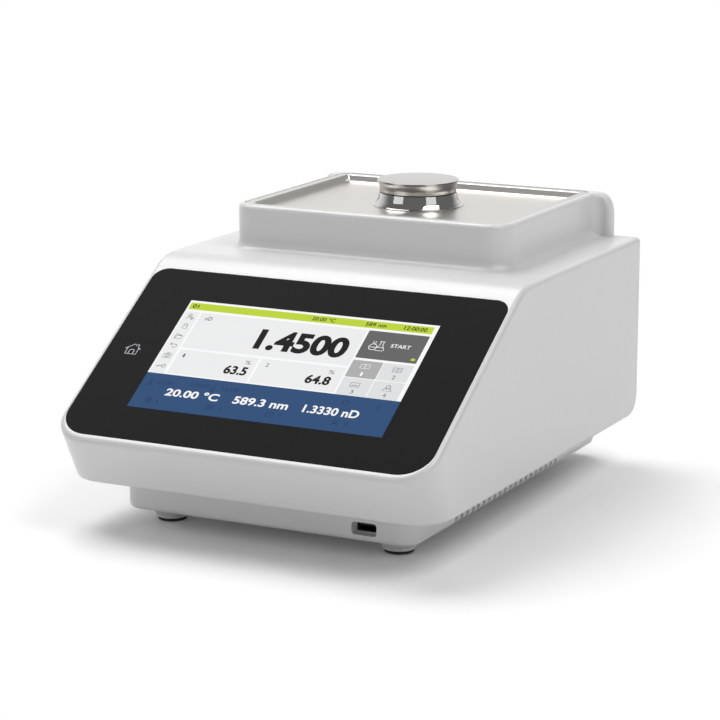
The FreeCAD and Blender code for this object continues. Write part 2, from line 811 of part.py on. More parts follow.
def at_block_foot(edge):
    """True on the edges where the tray block stands on the shoulder."""
    shoulder = value("shoulder_height")
    bounds = edge.BoundBox
    middle = edge.CenterOfMass
    level = near(bounds.ZMin, shoulder) and near(bounds.ZMax, shoulder)
    inside = abs(middle.x) < value("block_half") + 0.1 and bounds.YMin > value("block_front") - 0.1
    return level and inside and middle.y < value("rear") - 0.1


def round_housing(body):
    """The outer edges, then the rim of the block."""
    rear = value("rear")
    side = value("side")
    nose = (value("nose_y"), value("nose_height"))
    chin_foot = (value("chin_foot_y"), value("body_floor"))

    def on_outline(point):
        at_nose = near(point.y, nose[0]) and near(point.z, nose[1])
        at_foot = near(point.y, chin_foot[0]) and near(point.z, chin_foot[1])
        return near(abs(point.x), side) or near(point.y, rear) or at_nose or at_foot

    def outer(edge):
        return all(on_outline(vertex.Point) for vertex in edge.Vertexes) and is_sharp(body.Tip.Shape, edge)

    soften(body, "Fillet", "outer_edges", "edge_round", outer)
    above = value("shoulder_height + cove_round")

    def on_rim(edge):
        return edge.BoundBox.ZMin > above and is_sharp(body.Tip.Shape, edge)

    soften(body, "Fillet", "rim_edges", "rim_round", on_rim)


def cut_housing_seats(body):
    """Seats for the tray, the glass, the touch key and the rear panel, with the openings behind them."""
    extrude(body, "Pocket", "plate_seat", "XY", "plate_top - plate_sheet", "rim_height + 1",
            [plate_outline("fit_gap")])
    extrude(body, "Pocket", "tray_opening", "XY", "roof - 1", "rim_height", [plate_outline("-plate_ledge")])
    extrude(body, "Pocket", "glass_seat", "FACE", "-glass_thick", "edge_round", [glass_outline("fit_gap")])
    extrude(body, "Pocket", "display_window", "FACE", "-face_wall * 2", "-glass_thick / 2", [rectangle(
        "-display_width / 2 - slide_gap", "display_width / 2 + slide_gap",
        "display_low - slide_gap", "display_low + display_length + slide_gap")])
    extrude(body, "Pocket", "key_seat", "FACE", "-glass_thick - key_thick", "-glass_thick / 2", [rectangle(
        "key_x - key_width / 2 - fit_gap", "key_x + key_width / 2 + fit_gap",
        "key_along - key_length / 2 - fit_gap", "key_along + key_length / 2 + fit_gap")])
    extrude(body, "Pocket", "panel_seat", "XZ", "panel_front", "rear + 1", [rectangle(
        "-panel_half", "panel_half", "panel_low", "panel_high", "panel_corner")])
    extrude(body, "Pocket", "panel_opening", "XZ", "inner_rear - 1", "panel_front + 1", [rectangle(
        "-panel_half + panel_ledge", "panel_half - panel_ledge", "panel_low + panel_ledge",
        "panel_high - panel_ledge")])
    extrude(body, "Pocket", "panel_screw_holes", "XZ", "inner_rear - 1", "panel_front + 1",
            circles=[(x, z, "panel_screw_radius + running_gap") for x, z in PANEL_SPOTS])


def add_housing_bosses(body):
    """Bosses for the case screws, posts for the heat sink and short bosses for the display bracket."""
    top = "flange_top + case_boss_height"
    extrude(body, "Pad", "case_bosses", "XY", "flange_top", top,
            circles=[(x, y, "boss_radius") for x, y in CASE_SCREW_SPOTS])
    extrude(body, "Pocket", "case_boss_holes", "XY", "flange_top - 1", "flange_top + screw_depth",
            circles=[(x, y, "screw_radius + running_gap") for x, y in CASE_SCREW_SPOTS])
    extrude(body, "Pad", "sink_posts", "XY", "sink_top", "roof + wall / 2",
            circles=[(x, y, "sink_post_radius") for x, y in SINK_SPOTS])
    extrude(body, "Pocket", "sink_post_holes", "XY", "sink_top - 1", "sink_top + screw_depth",
            circles=[(x, y, "screw_radius + running_gap") for x, y in SINK_SPOTS])
    extrude(body, "Pad", "bracket_bosses", "FACE", "bracket_top", "-face_wall / 2 - glass_thick / 2",
            circles=[(x, s, "bracket_boss_radius") for x, s in BRACKET_SPOTS])
    extrude(body, "Pocket", "bracket_boss_holes", "FACE",
            "bracket_top - 1", "-glass_thick - bracket_hole_end",
            circles=[(x, s, "bracket_screw_radius + running_gap") for x, s in BRACKET_SPOTS])


def plate_outline(grow):
    """The tray's plan outline, larger by grow all round; the rear corners are the tighter ones."""
    front = "plate_front - (%s)" % grow
    rear = "plate_rear + (%s)" % grow
    half = "plate_half + (%s)" % grow
    wide = "plate_corner + (%s)" % grow
    tight = "plate_corner_rear + (%s)" % grow
    other = "-(%s)" % half
    return [(other, front, wide), (half, front, wide), (half, rear, tight), (other, rear, tight)]


def glass_outline(grow):
    """The cover glass on the inclined face: large lower corners, small upper ones."""
    half = "glass_width / 2 + (%s)" % grow
    low = "-(%s)" % grow
    high = "glass_length + (%s)" % grow
    large = "glass_round_low + (%s)" % grow
    small = "glass_round_high + (%s)" % grow
    other = "-(%s)" % half
    return [(other, low, large), (half, low, large), (half, high, small), (other, high, small)]


def make_display():
    """Cover glass, display module, its sheet bracket with screws, and the touch key's sensor."""
    glass = frame_of("cover_glass")
    extrude(glass, "Pad", "pane", "FACE", "-glass_thick", "0", [glass_outline("0")])
    soften(glass, "Chamfer", "ground_edge", "glass_chamfer", lambda edge: is_top_edge(glass, edge))
    keep(glass)
    module = frame_of("display_module")
    extrude(module, "Pad", "panel", "FACE", "bracket_top", "-glass_thick", [rectangle(
        "-display_width / 2", "display_width / 2", "display_low", "display_low + display_length")])
    keep(module)
    bracket = frame_of("display_bracket")
    extrude(bracket, "Pad", "sheet", "FACE", "bracket_top - bracket_sheet", "bracket_top", [
        rectangle("-bracket_width / 2", "bracket_width / 2", "bracket_low", "bracket_high", "boss_radius"),
        rectangle("-bracket_window_width / 2", "bracket_window_width / 2",
                  "display_low + display_length / 2 - bracket_window_length / 2",
                  "display_low + display_length / 2 + bracket_window_length / 2", "boss_radius")])
    extrude(bracket, "Pocket", "holes", "FACE", "bracket_top - bracket_sheet - 1", "bracket_top + 1",
            circles=[(x, s, "screw_radius + running_gap") for x, s in BRACKET_SPOTS])
    keep(bracket)
    screws("display_screws", [(x, s, "bracket_top - bracket_sheet") for x, s in BRACKET_SPOTS], "FACE",
           shank_radius="bracket_screw_radius",
           shank_length="bracket_sheet + face_wall - glass_thick - screw_spare")
    key = frame_of("home_key_sensor")
    extrude(key, "Pad", "sensor_foil", "FACE", "-glass_thick - key_thick", "-glass_thick", [rectangle(
        "key_x - key_width / 2", "key_x + key_width / 2",
        "key_along - key_length / 2", "key_along + key_length / 2")])
    keep(key)


def is_top_edge(glass, edge):
    """True on the edges of the glass's upper face."""
    lean = math.radians(value("face_angle"))
    points = [vertex.Point for vertex in edge.Vertexes]
    heights = [(point.z - value("glass_z")) * math.cos(lean) - (point.y - value("glass_y")) * math.sin(lean)
               for point in points]
    return all(abs(height) < 0.01 for height in heights)


def make_sample_plate():
    """Pressed stainless tray: flat flange, sloping wall, flat floor and the hole for the ring."""
    body = frame_of("sample_plate")
    extrude(body, "Pad", "flange", "XY", "plate_top - plate_sheet", "plate_top", [plate_outline("0")])
    low = new_sketch(body, "dish_low", "XY", "plate_under")
    draw_outline(low, plate_outline("-plate_flange - plate_slope"))
    high = new_sketch(body, "dish_high", "XY", "plate_top - plate_sheet")
    draw_outline(high, plate_outline("-plate_flange"))
    dish = body.newObject("PartDesign::AdditiveLoft", "dish")
    dish.Profile = low
    dish.Sections = [high]
    dish.Ruled = True
    doc.recompute()
    floor = new_sketch(body, "hollow_low", "XY", "plate_floor")
    draw_outline(floor, plate_outline("-plate_flange - plate_slope - plate_sheet / 3"))
    mouth = new_sketch(body, "hollow_high", "XY", "plate_top")
    draw_outline(mouth, plate_outline("-plate_flange - plate_sheet / 3"))
    hollow = body.newObject("PartDesign::SubtractiveLoft", "hollow")
    hollow.Profile = floor
    hollow.Sections = [mouth]
    hollow.Ruled = True
    doc.recompute()
    extrude(body, "Pocket", "ring_hole", "XY", "plate_under - 1", "plate_floor + 1",
            circles=[("0", "prism_y", "ring_spigot_radius + fit_gap")])
    return keep(body)


def make_prism_ring():
    """Polished ring: thin rim on the tray, flared wall, dish down to the prism, spigot below."""
    body = frame_of("prism_ring")
    turn(body, "Revolution", "ring", "XZ", "V_Axis", [
        ("ring_rim_radius", "plate_floor"),
        ("ring_rim_radius", "ring_foot"),
        ("ring_flare_radius", "plate_floor + ring_flare_height", "ring_flare_round"),
        ("ring_top_radius", "ring_top"),
        ("ring_mouth_radius", "ring_top"),
        ("ring_mouth_radius", "ring_top - ring_mouth_depth"),
        ("ring_seat_radius + ring_rim_thick", "prism_top"),
        ("ring_seat_radius", "prism_top"),
        ("ring_seat_radius", "prism_step"),
        ("ring_throat_radius", "prism_step"),
        ("ring_throat_radius", "ring_bottom"),
        ("ring_spigot_radius", "ring_bottom"),
        ("ring_spigot_radius", "plate_floor")], level="prism_y")
    return keep(body)


def make_prism():
    """Measuring prism: a round window with a trapezoid below that takes and gives the light."""
    body = frame_of("prism")
    extrude(body, "Pad", "window", "XY", "prism_step", "prism_top",
            circles=[("0", "prism_y", "prism_radius")])
    extrude(body, "Pad", "trapezoid", "XZ", "prism_y - prism_half_length", "prism_y + prism_half_length", [[
        ("-prism_half_bottom", "prism_step - prism_depth"), ("prism_half_bottom", "prism_step - prism_depth"),
        ("prism_half_top", "prism_step"), ("-prism_half_top", "prism_step")]])
    keep(body)
    seal = frame_of("prism_seal")
    level = "prism_top - fit_gap"
    extrude(seal, "Pad", "ring", "XY", level + " - seal_thick", level, circles=[
        ("0", "prism_y", "ring_seat_radius"), ("0", "prism_y", "prism_radius")])
    keep(seal)


def make_sample_cover():
    """Turned stainless cover: flat top, bevel, concave waist, and a spigot with its seal below."""
    body = frame_of("sample_cover")
    turn(body, "Revolution", "knob", "XZ", "V_Axis", [
        ("0", "ring_top - cover_spigot_depth"),
        ("cover_spigot_radius", "ring_top - cover_spigot_depth"),
        ("cover_spigot_radius", "ring_top"),
        ("cover_foot_radius", "ring_top"),
        ("cover_waist_radius", "ring_top + cover_waist_height", "cover_waist_round"),
        ("cover_radius", "cover_top - cover_rim"),
        ("cover_radius", "cover_top - cover_bevel"),
        ("cover_radius - cover_bevel", "cover_top"),
        ("0", "cover_top")], level="prism_y")
    keep(body)
    seal = frame_of("cover_seal")
    extrude(seal, "Pad", "ring", "XY", "ring_top - cover_spigot_depth + fit_gap", "ring_top - fit_gap",
            circles=[("0", "prism_y", "cover_spigot_radius + cover_seal_width"),
                     ("0", "prism_y", "cover_spigot_radius")])
    keep(seal)


def slanted(name, side):
    """A body whose own Z axis points from the prism's underside down into one optical bore."""
    body = frame_of(name)
    sense = 1 if side == "right" else -1
    turned = 180 - value("optic_bore_angle") if side == "right" else value("optic_bore_angle") - 180
    body.Placement = Placement(Vector(0, 0, 0), Rotation(Vector(0, 1, 0), turned))
    bind(body, Placement__Rotation__Angle="%d * (180 - optic_bore_angle)" % sense,
         Placement__Base__y="prism_y", Placement__Base__z="optic_centre")
    return body


def make_optics():
    """Optical block with its chamber and two slanted bores, light source, lens tube and sensor."""
    block = frame_of("measuring_block_form")
    extrude(block, "Pad", "block", "XY", "optic_bottom", "plate_under", [rectangle(
        "-optic_width / 2", "optic_width / 2",
        "prism_y - optic_length / 2", "prism_y + optic_length / 2", "optic_round")])
    extrude(block, "Pocket", "spigot_seat", "XY", "ring_bottom", "plate_under + 1",
            circles=[("0", "prism_y", "ring_spigot_radius + fit_gap")])
    extrude(block, "Pocket", "chamber", "XY", "ring_bottom - optic_chamber_depth", "ring_bottom + 1",
            circles=[("0", "prism_y", "optic_chamber_radius")])
    extrude(block, "Pocket", "probe_hole", "XZ", "prism_y + optic_length / 2 - probe_depth",
            "prism_y + optic_length / 2 + 1",
            circles=[("0", "optic_bottom + optic_height / 3", "probe_radius + running_gap")])
    bores = []
    for side, sense in (("right", 1), ("left", -1)):
        bore = doc.addObject("Part::Cylinder", "bore_" + side)
        bore.Placement = Placement(Vector(0, 0, 0), Rotation(Vector(0, 1, 0), sense))
        bind(bore, Radius="optic_bore_radius", Height="optic_width",
             Placement__Rotation__Angle="%d * (180 - optic_bore_angle)" % sense,
             Placement__Base__y="prism_y", Placement__Base__z="optic_centre")
        bores.append(bore)
    drilled = doc.addObject("Part::Cut", "measuring_block")
    drilled.Base = block
    drilled.Tool = fuse("optic_bores", bores)
    keep(drilled)
    tube = slanted("optics_tube", "right")
    tube_radius = "optic_bore_radius - fit_gap / 2"
    extrude(tube, "Pad", "barrel", "XY", "tube_start", "tube_start + tube_length", circles=[
        ("0", "0", tube_radius), ("0", "0", "tube_bore_radius")])
    keep(tube)
    lens = slanted("objective_lens", "right")
    first = "tube_start + lens_setback"
    turn(lens, "Revolution", "lens", "XZ", "V_Axis", [
        ("0", first), ("tube_bore_radius", first + " + lens_sag"),
        ("tube_bore_radius", first + " + lens_thick"), ("0", first + " + lens_thick + lens_sag")])
    keep(lens)
    sensor = slanted("sensor_board", "right")
    back = "tube_start + tube_length"
    extrude(sensor, "Pad", "board", "XY", back, back + " + sensor_sheet", [rectangle(
        "-sensor_height / 2", "sensor_height / 2", "-sensor_width / 2", "sensor_width / 2")])
    extrude(sensor, "Pad", "line_sensor", "XY", back + " + sensor_sheet",
            back + " + sensor_sheet + sensor_chip_thick", [rectangle(
                "-sensor_chip_height / 2", "sensor_chip_height / 2",
                "-sensor_chip_width / 2", "sensor_chip_width / 2")])
    keep(sensor)
    lamp = slanted("lamp_holder", "left")
    extrude(lamp, "Pad", "holder", "XY", "lamp_start", "lamp_start + lamp_length", circles=[
        ("0", "0", tube_radius), ("0", "0", "led_radius")])
    keep(lamp)
    led = slanted("light_source", "left")
    turn(led, "Revolution", "lamp", "XZ", "V_Axis", [
        ("0", "lamp_start + led_radius"), ("led_radius", "lamp_start + led_radius", "led_radius * 0.9"),
        ("led_radius", "lamp_start + led_radius + led_length"),
        ("0", "lamp_start + led_radius + led_length")])
    keep(led)
    keep(cylinder("temperature_probe", "probe_radius", "probe_length",
                  ("0", "prism_y + optic_length / 2 - probe_depth", "optic_bottom + optic_height / 3"), "Y"))


def make_cooling():
    """Peltier modules, finned heat sink and its screws."""
    modules = []
    for index, sense in enumerate(("-1", "1")):
        modules.append(box("peltier_%d" % index, "peltier_side", "peltier_side", "peltier_thick",
                           ("-peltier_side / 2", "prism_y + %s * peltier_pitch / 2 - peltier_side / 2" % sense,
                            "sink_top")))
    group("peltier_modules", modules)
    sink = frame_of("heat_sink")
    extrude(sink, "Pad", "plate", "XY", "sink_bottom", "sink_top", [rectangle(
        "-sink_width / 2", "sink_width / 2",
        "prism_y - sink_length / 2", "prism_y + sink_length / 2", "sink_round")])
    extrude(sink, "Pocket", "holes", "XY", "sink_bottom - 1", "sink_top + 1",
            circles=[(x, y, "screw_radius + fit_gap") for x, y in SINK_SPOTS])
    span = "(sink_fin_count - 1) * sink_fin_pitch"
    fin = extrude(sink, "Pad", "fin", "XY", "sink_bottom - sink_fin_height", "sink_bottom", [rectangle(
        "-%s / 2 - sink_fin_thick / 2" % span, "-%s / 2 + sink_fin_thick / 2" % span,
        "prism_y - sink_length / 2", "prism_y + sink_length / 2")])
    repeat(sink, "fins", fin, "X_Axis", "sink_fin_count", span)
    keep(sink)
    screws("sink_screws", [(x, y, "sink_bottom") for x, y in SINK_SPOTS], "Z",
           shank_length="sink_base + screw_depth - screw_spare")


def make_fan():
    """Axial fan on the rear panel: square frame with motor mount, and the bladed rotor."""
    frame = frame_of("fan_frame")
    half = "fan_side / 2"
    extrude(frame, "Pad", "housing", "XZ", "fan_front", "fan_rear",
            [rectangle("-" + half, half, "fan_height - " + half, "fan_height + " + half, "fan_corner")],
            circles=[("0", "fan_height", "fan_bore_radius")])
    extrude(frame, "Pocket", "holes", "XZ", "fan_front - 1", "fan_rear + 1",
            circles=[(x, z, "screw_radius + fit_gap") for x, z in FAN_SPOTS])
    extrude(frame, "Pad", "motor_mount", "XZ", "fan_front", "fan_front + fan_motor_thick",
            circles=[("0", "fan_height", "fan_motor_radius")])
    reach = "fan_bore_radius + 1"
    width = "fan_strut_width / 2"
    extrude(frame, "Pad", "struts_across", "XZ", "fan_front", "fan_front + fan_motor_thick",
            [rectangle("-(%s)" % reach, reach, "fan_height - " + width, "fan_height + " + width)])
    extrude(frame, "Pad", "struts_up", "XZ", "fan_front", "fan_front + fan_motor_thick",
            [rectangle("-" + width, width, "fan_height - (%s)" % reach, "fan_height + " + reach)])
    extrude(frame, "Pad", "bearing", "XZ", "fan_front + fan_motor_thick",
            "fan_front + fan_motor_thick + fan_bearing_length",
            circles=[("0", "fan_height", "fan_bearing_radius")])
    extrude(frame, "Pocket", "bearing_bore", "XZ", "fan_front - 1",
            "fan_front + fan_motor_thick + fan_bearing_length + 1",
            circles=[("0", "fan_height", "fan_shaft_radius + running_gap")])
    keep(frame)
    rotor = frame_of("fan_rotor")
    rotor.Placement = Placement(Vector(0, 0, 0), Rotation())
    bind(rotor, Placement__Base__y="fan_front", Placement__Base__z="fan_height")
    hub_start = "fan_motor_thick + slide_gap * 2"
    hub_end = "(%s + fan_hub_length)" % hub_start
    inner = "fan_hub_radius - fan_hub_wall"
    turn(rotor, "Revolution", "hub", "YZ", "H_Axis", [
        (hub_start, "fan_hub_radius"), (hub_end, "fan_hub_radius"), (hub_end, "0"),
        ("0", "0"), ("0", "fan_shaft_radius"), (hub_end + " - fan_hub_cap", "fan_shaft_radius"),
        (hub_end + " - fan_hub_cap", inner), (hub_start, inner)])
    root = new_sketch(rotor, "blade_root", "XY", "fan_hub_radius - fan_hub_wall / 2")
    tip = new_sketch(rotor, "blade_tip", "XY", "fan_blade_radius - slide_gap")
    middle = "(%s + fan_hub_length / 2)" % hub_start
    sections = ((root, "fan_blade_root", "fan_root_pitch"), (tip, "fan_blade_tip", "fan_tip_pitch"))
    for sketch, chord, pitch in sections:
        bind(sketch, AttachmentOffset__Base__y=middle)
        tilted = Rotation(Vector(0, 0, 1), value(pitch))
        sketch.AttachmentOffset = Placement(sketch.AttachmentOffset.Base, tilted)
        bind(sketch, AttachmentOffset__Rotation__Angle=pitch)
        draw_outline(sketch, rectangle("-%s / 2" % chord, "%s / 2" % chord,
                                       "-fan_blade_thick / 2", "fan_blade_thick / 2"))
    blade = rotor.newObject("PartDesign::AdditiveLoft", "blade")
    blade.Profile = root
    blade.Sections = [tip]
    blade.Ruled = True
    doc.recompute()
    blades = rotor.newObject("PartDesign::PolarPattern", "blades")
    blades.Originals = [blade]
    blades.Axis = ([item for item in rotor.Origin.OriginFeatures if item.Role == "Y_Axis"][0], [""])
    bind(blades, Occurrences="fan_blade_count")
    rotor.Tip = blades
    doc.recompute()
    keep(rotor)
    screws("fan_screws", [(x, "panel_rear", z) for x, z in FAN_SPOTS], "-Y",
           shank_length="panel_sheet + fan_thick / 2", head_height="panel_head_height")


def make_base_housing():
    """Lower housing: tray with rounded edge, flange inside the upper shell, vents, port and feet."""
    body = frame_of("base_housing")
    extrude(body, "Pad", "tub", "XY", "base_height", "body_floor", [rectangle(
        "-base_half", "base_half", "base_front_y", "base_rear_y", "base_corner")])
    bottom = value("base_height")
    soften(body, "Fillet", "bottom_edge", "base_edge",
           lambda edge: near(edge.BoundBox.ZMin, bottom) and near(edge.BoundBox.ZMax, bottom))
    extrude(body, "Pad", "flange", "XY", "body_floor", "flange_top", [rectangle(
        "-inner_side + slide_gap", "inner_side - slide_gap", "flange_y", "inner_rear - slide_gap")])
    front_y = value("flange_y")
    soften(body, "Fillet", "flange_corners", "(chin_round - wall) / cos(chin_angle)",
           lambda edge: near(edge.CenterOfMass.y, front_y) and edge.Length < value("base_flange") + 0.1)
    extrude(body, "Pocket", "inside", "XY", "base_floor", "flange_top + 1", [rectangle(
        "-base_half + base_wall", "base_half - base_wall", "base_front_y + base_wall",
        "inner_rear - slide_gap - base_wall", "base_corner - base_wall")])
    for name, sense in (("right", "1"), ("left", "-1")):
        slot = extrude(body, "Pocket", "vent_" + name, "XY", "base_height - 1", "vent_top", [rectangle(
            "%s * base_half - vent_reach" % sense, "%s * base_half + vent_reach" % sense,
            "vent_start", "vent_start + vent_width")])
        repeat(body, "vents_" + name, slot, "Y_Axis", "vent_count", "(vent_count - 1) * vent_pitch")
    add_port(body)
    for index, (x, y) in enumerate(FOOT_SPOTS):
        turn(body, "Revolution", "foot_%d" % index, "XZ", "V_Axis", [
            ("0", "foot_pad_proud"), ("foot_tip_radius", "foot_pad_proud", "foot_round"),
            ("foot_tip_radius", "foot_pad_proud + foot_tip_height", "foot_round"),
            ("foot_top_radius", "base_height - foot_round", "foot_round"),
            ("foot_top_radius", "base_height + base_wall / 2"),
            ("0", "base_height + base_wall / 2")], centre=(x, "0"), level=y)
    extrude(body, "Pocket", "pad_seats", "XY", "foot_pad_proud - 1", "foot_pad_thick",
            circles=[(x, y, "foot_pad_radius + running_gap") for x, y in FOOT_SPOTS])
    extrude(body, "Pad", "standoffs", "XY", "base_floor - base_wall / 2", "board_low",
            circles=[(x, y, "standoff_radius") for x, y in MAIN_BOARD_SPOTS + POWER_BOARD_SPOTS])
    extrude(body, "Pad", "io_standoffs", "XY", "base_floor - base_wall / 2", "io_board_z",
            circles=[(x, y, "standoff_radius") for x, y in IO_BOARD_SPOTS])
    for name, top, spots in (("standoff_holes", "board_low", MAIN_BOARD_SPOTS + POWER_BOARD_SPOTS),
                             ("io_standoff_holes", "io_board_z", IO_BOARD_SPOTS)):
        extrude(body, "Pocket", name, "XY", top + " - standoff_height", top + " + 1",
                circles=[(x, y, "screw_radius + running_gap") for x, y in spots])
    extrude(body, "Pocket", "case_screw_holes", "XY", "body_floor - 1", "flange_top + 1",
            circles=[(x, y, "screw_radius + fit_gap") for x, y in CASE_SCREW_SPOTS])
    return keep(body)


def add_port(body):
    """The front socket's recess, in a box moulded behind the front wall."""
    left = "port_x - port_width / 2"
    right = "port_x + port_width / 2"
    high = "port_low + port_height"
    extrude(body, "Pad", "port_box", "XZ", "base_front_y + base_wall / 2", "port_back_y + port_plate", [
        rectangle(left + " - port_frame", right + " + port_frame",
                  "base_floor - base_wall / 2", high + " + port_frame")])
    extrude(body, "Pocket", "port_recess", "XZ", "base_front_y - 1", "port_back_y", [rectangle(
        left, right, "port_low", high, "port_round")])
    extrude(body, "Pocket", "port_hole", "XZ", "port_back_y - 1", "port_back_y + port_plate + 1", [rectangle(
        "port_x - usb_width / 2 - fit_gap", "port_x + usb_width / 2 + fit_gap",
        "port_mid_z - usb_height / 2 - fit_gap", "port_mid_z + usb_height / 2 + fit_gap")])


def usb_socket(name, x, front, mid_z, facing):
    """A USB-A receptacle: folded metal shell, open at its mouth, with the contact tongue inside.

    front is the mouth's Y; facing is -1 where the mouth looks to the front and 1 to the rear.
    """
    body = frame_of(name)
    near_y, far_y = (front, "%s + usb_length" % front) if facing < 0 else ("%s - usb_length" % front, front)
    shell = rectangle("%s - usb_width / 2" % x, "%s + usb_width / 2" % x,
                      "%s - usb_height / 2" % mid_z, "%s + usb_height / 2" % mid_z)
    extrude(body, "Pad", "shell", "XZ", near_y, far_y, [shell])
    inside = rectangle("%s - usb_width / 2 + usb_wall" % x, "%s + usb_width / 2 - usb_wall" % x,
                       "%s - usb_height / 2 + usb_wall" % mid_z, "%s + usb_height / 2 - usb_wall" % mid_z)
    mouth = (near_y + " - 1", far_y + " - usb_back")
    if facing > 0:
        mouth = (near_y + " + usb_back", far_y + " + 1")
    extrude(body, "Pocket", "mouth", "XZ", mouth[0], mouth[1], [inside])
    tongue = rectangle("%s - usb_width / 2 + usb_tongue_inset" % x,
                       "%s + usb_width / 2 - usb_tongue_inset" % x,
                       "%s + usb_tongue_rise" % mid_z, "%s + usb_tongue_rise + usb_tongue" % mid_z)
    reach = (near_y + " + usb_tongue_inset", far_y + " - usb_back / 2")
    if facing > 0:
        reach = (near_y + " + usb_back / 2", far_y + " - usb_tongue_inset")
    extrude(body, "Pad", "tongue", "XZ", reach[0], reach[1], [tongue])
    return body


def make_front_port():
    keep(usb_socket("front_usb_socket", "port_x", "port_back_y", "port_mid_z", -1))
    board = frame_of("front_usb_board")
    high = "port_mid_z - usb_height / 2"
    extrude(board, "Pad", "board", "XY", high + " - usb_board_sheet", high, [rectangle(
        "port_x - usb_width", "port_x + usb_width", "port_back_y + port_plate + fit_gap",
        "port_back_y + usb_length + usb_board_reach")])
    keep(board)


def make_feet_and_case_screws():
    pads = []
    for index, (x, y) in enumerate(FOOT_SPOTS):
        pads.append(cylinder("foot_pad_%d" % index, "foot_pad_radius", "foot_pad_thick", (x, y, "0")))
    group("foot_pads", pads)
    screws("case_screws", [(x, y, "body_floor") for x, y in CASE_SCREW_SPOTS], "Z",
           shank_length="base_flange + screw_depth - screw_spare")


def component(name, board_front):
    """A component of a board, a block or a round can, placed by its left and front edges."""
    left = name + "_left"
    front = "%s + %s_front" % (board_front, name)
    level = "board_top + %s_rise" % name
    if name in ROUND_PARTS:
        radius = name + "_width / 2"
        centre = ("%s + %s" % (left, radius), "%s + %s" % (front, radius), level)
        return cylinder(name, radius, name + "_height", centre)
    return box(name, name + "_width", name + "_length", name + "_height", (left, front, level))


def make_boards():
    """Main board and power board on their standoffs, with their larger components."""
    for name, half, front, length, spots in (
            ("main_board", "main_board_half", "main_front_y", "main_board_length", MAIN_BOARD_SPOTS),
            ("power_board", "power_board_half", "power_front_y", "power_board_length", POWER_BOARD_SPOTS)):
        board = frame_of(name)
        extrude(board, "Pad", "laminate", "XY", "board_low", "board_top",
                [rectangle("-" + half, half, front, "%s + %s" % (front, length), "board_round")],
                circles=[(x, y, "screw_radius + fit_gap") for x, y in spots])
        keep(board)
    spots = [(x, y, "board_top") for x, y in MAIN_BOARD_SPOTS + POWER_BOARD_SPOTS]
    spots += [(x, y, "io_top") for x, y in IO_BOARD_SPOTS]
    screws("board_screws", spots, "-Z", shank_length="board_sheet + standoff_height - screw_spare")
    group("main_board_chips", [component(name, "main_front_y") for name in MAIN_BOARD_PARTS])
    group("power_parts", [component(name, "power_front_y") for name in POWER_BOARD_PARTS])


def make_rear_panel():
    """Rear panel with its fan grille and the cut-outs for inlet, switch and sockets."""
    body = frame_of("rear_panel")
    extrude(body, "Pad", "plate", "XZ", "panel_front", "panel_rear", [rectangle(
        "-panel_half + slide_gap", "panel_half - slide_gap", "panel_low + slide_gap",
        "panel_high - slide_gap", "panel_corner")])
    extrude(body, "Pocket", "screw_holes", "XZ", "panel_front - 1", "panel_rear + 1",
            circles=[(x, z, "panel_screw_radius + fit_gap") for x, z in PANEL_SPOTS]
            + [(x, z, "screw_radius + fit_gap") for x, z in FAN_SPOTS])
    for index in range(int(value("grille_count"))):
        level = "((%d + 0.5) * grille_pitch - grille_count * grille_pitch / 2)" % index
        half = "sqrt((fan_bore_radius - 1) ^ 2 - (abs(%s) + grille_slot / 2) ^ 2)" % level
        extrude(body, "Pocket", "grille_%d" % index, "XZ", "panel_front - 1", "panel_rear + 1", [rectangle(
            "-(%s)" % half, half, "fan_height + %s - grille_slot / 2" % level,
            "fan_height + %s + grille_slot / 2" % level, "grille_slot * 0.45")])
    cuts = [("inlet_x", "inlet_z", "inlet_width", "inlet_height"),
            ("switch_x", "switch_z", "switch_width", "switch_height"),
            ("lan_x", "io_top + lan_height / 2", "lan_width", "lan_height"),
            ("usb_rear_x", "io_top + usb_height / 2", "usb_width", "usb_height"),
            ("usb_rear_x - usb_rear_pitch", "io_top + usb_height / 2", "usb_width", "usb_height"),
            ("serial_x", "io_top + serial_height / 2", "serial_shell_width", "serial_shell_height")]
    extrude(body, "Pocket", "cut_outs", "XZ", "panel_front - 1", "panel_rear + 1", [
        rectangle("%s - %s / 2 - fit_gap" % (x, width), "%s + %s / 2 + fit_gap" % (x, width),
                  "%s - %s / 2 - fit_gap" % (z, height), "%s + %s / 2 + fit_gap" % (z, height))
        for x, z, width, height in cuts])
    keep(body)
    screws("panel_screws", [(x, "panel_rear", z) for x, z in PANEL_SPOTS], "-Y",
           head_radius="panel_head_radius", head_height="panel_head_height",
           shank_radius="panel_screw_radius",
           shank_length="panel_sheet + rear_wall - panel_depth")


def make_power_inlet():
    """Appliance inlet: flanged plastic body, open cavity and three flat pins."""
    body = frame_of("power_inlet")

    def around(grow, radius):
        return rectangle("inlet_x - inlet_width / 2 - (%s)" % grow,
                         "inlet_x + inlet_width / 2 + (%s)" % grow,
                         "inlet_z - inlet_height / 2 - (%s)" % grow,
                         "inlet_z + inlet_height / 2 + (%s)" % grow, radius)

    extrude(body, "Pad", "case", "XZ", "panel_rear - inlet_length", "panel_rear", [around("0", None)])
    extrude(body, "Pad", "flange", "XZ", "panel_rear", "panel_rear + inlet_proud",
            [around("inlet_flange", "inlet_flange")])
    extrude(body, "Pocket", "cavity", "XZ", "panel_rear + inlet_proud - inlet_depth",
            "panel_rear + inlet_proud + 1", [around("-inlet_wall", "inlet_corner")])
    keep(body)
    pins = []
    for name, across, up in (("earth", "0", "pin_drop"), ("line", "pin_pitch", "-pin_drop"),
                             ("neutral", "-pin_pitch", "-pin_drop")):
        pins.append(box("pin_" + name, "pin_width", "pin_reach", "pin_height",
                        ("inlet_x + (%s) - pin_width / 2" % across, "panel_rear + inlet_proud - inlet_depth",
                         "inlet_z + (%s) - pin_height / 2" % up)))
    group("inlet_pins", pins)


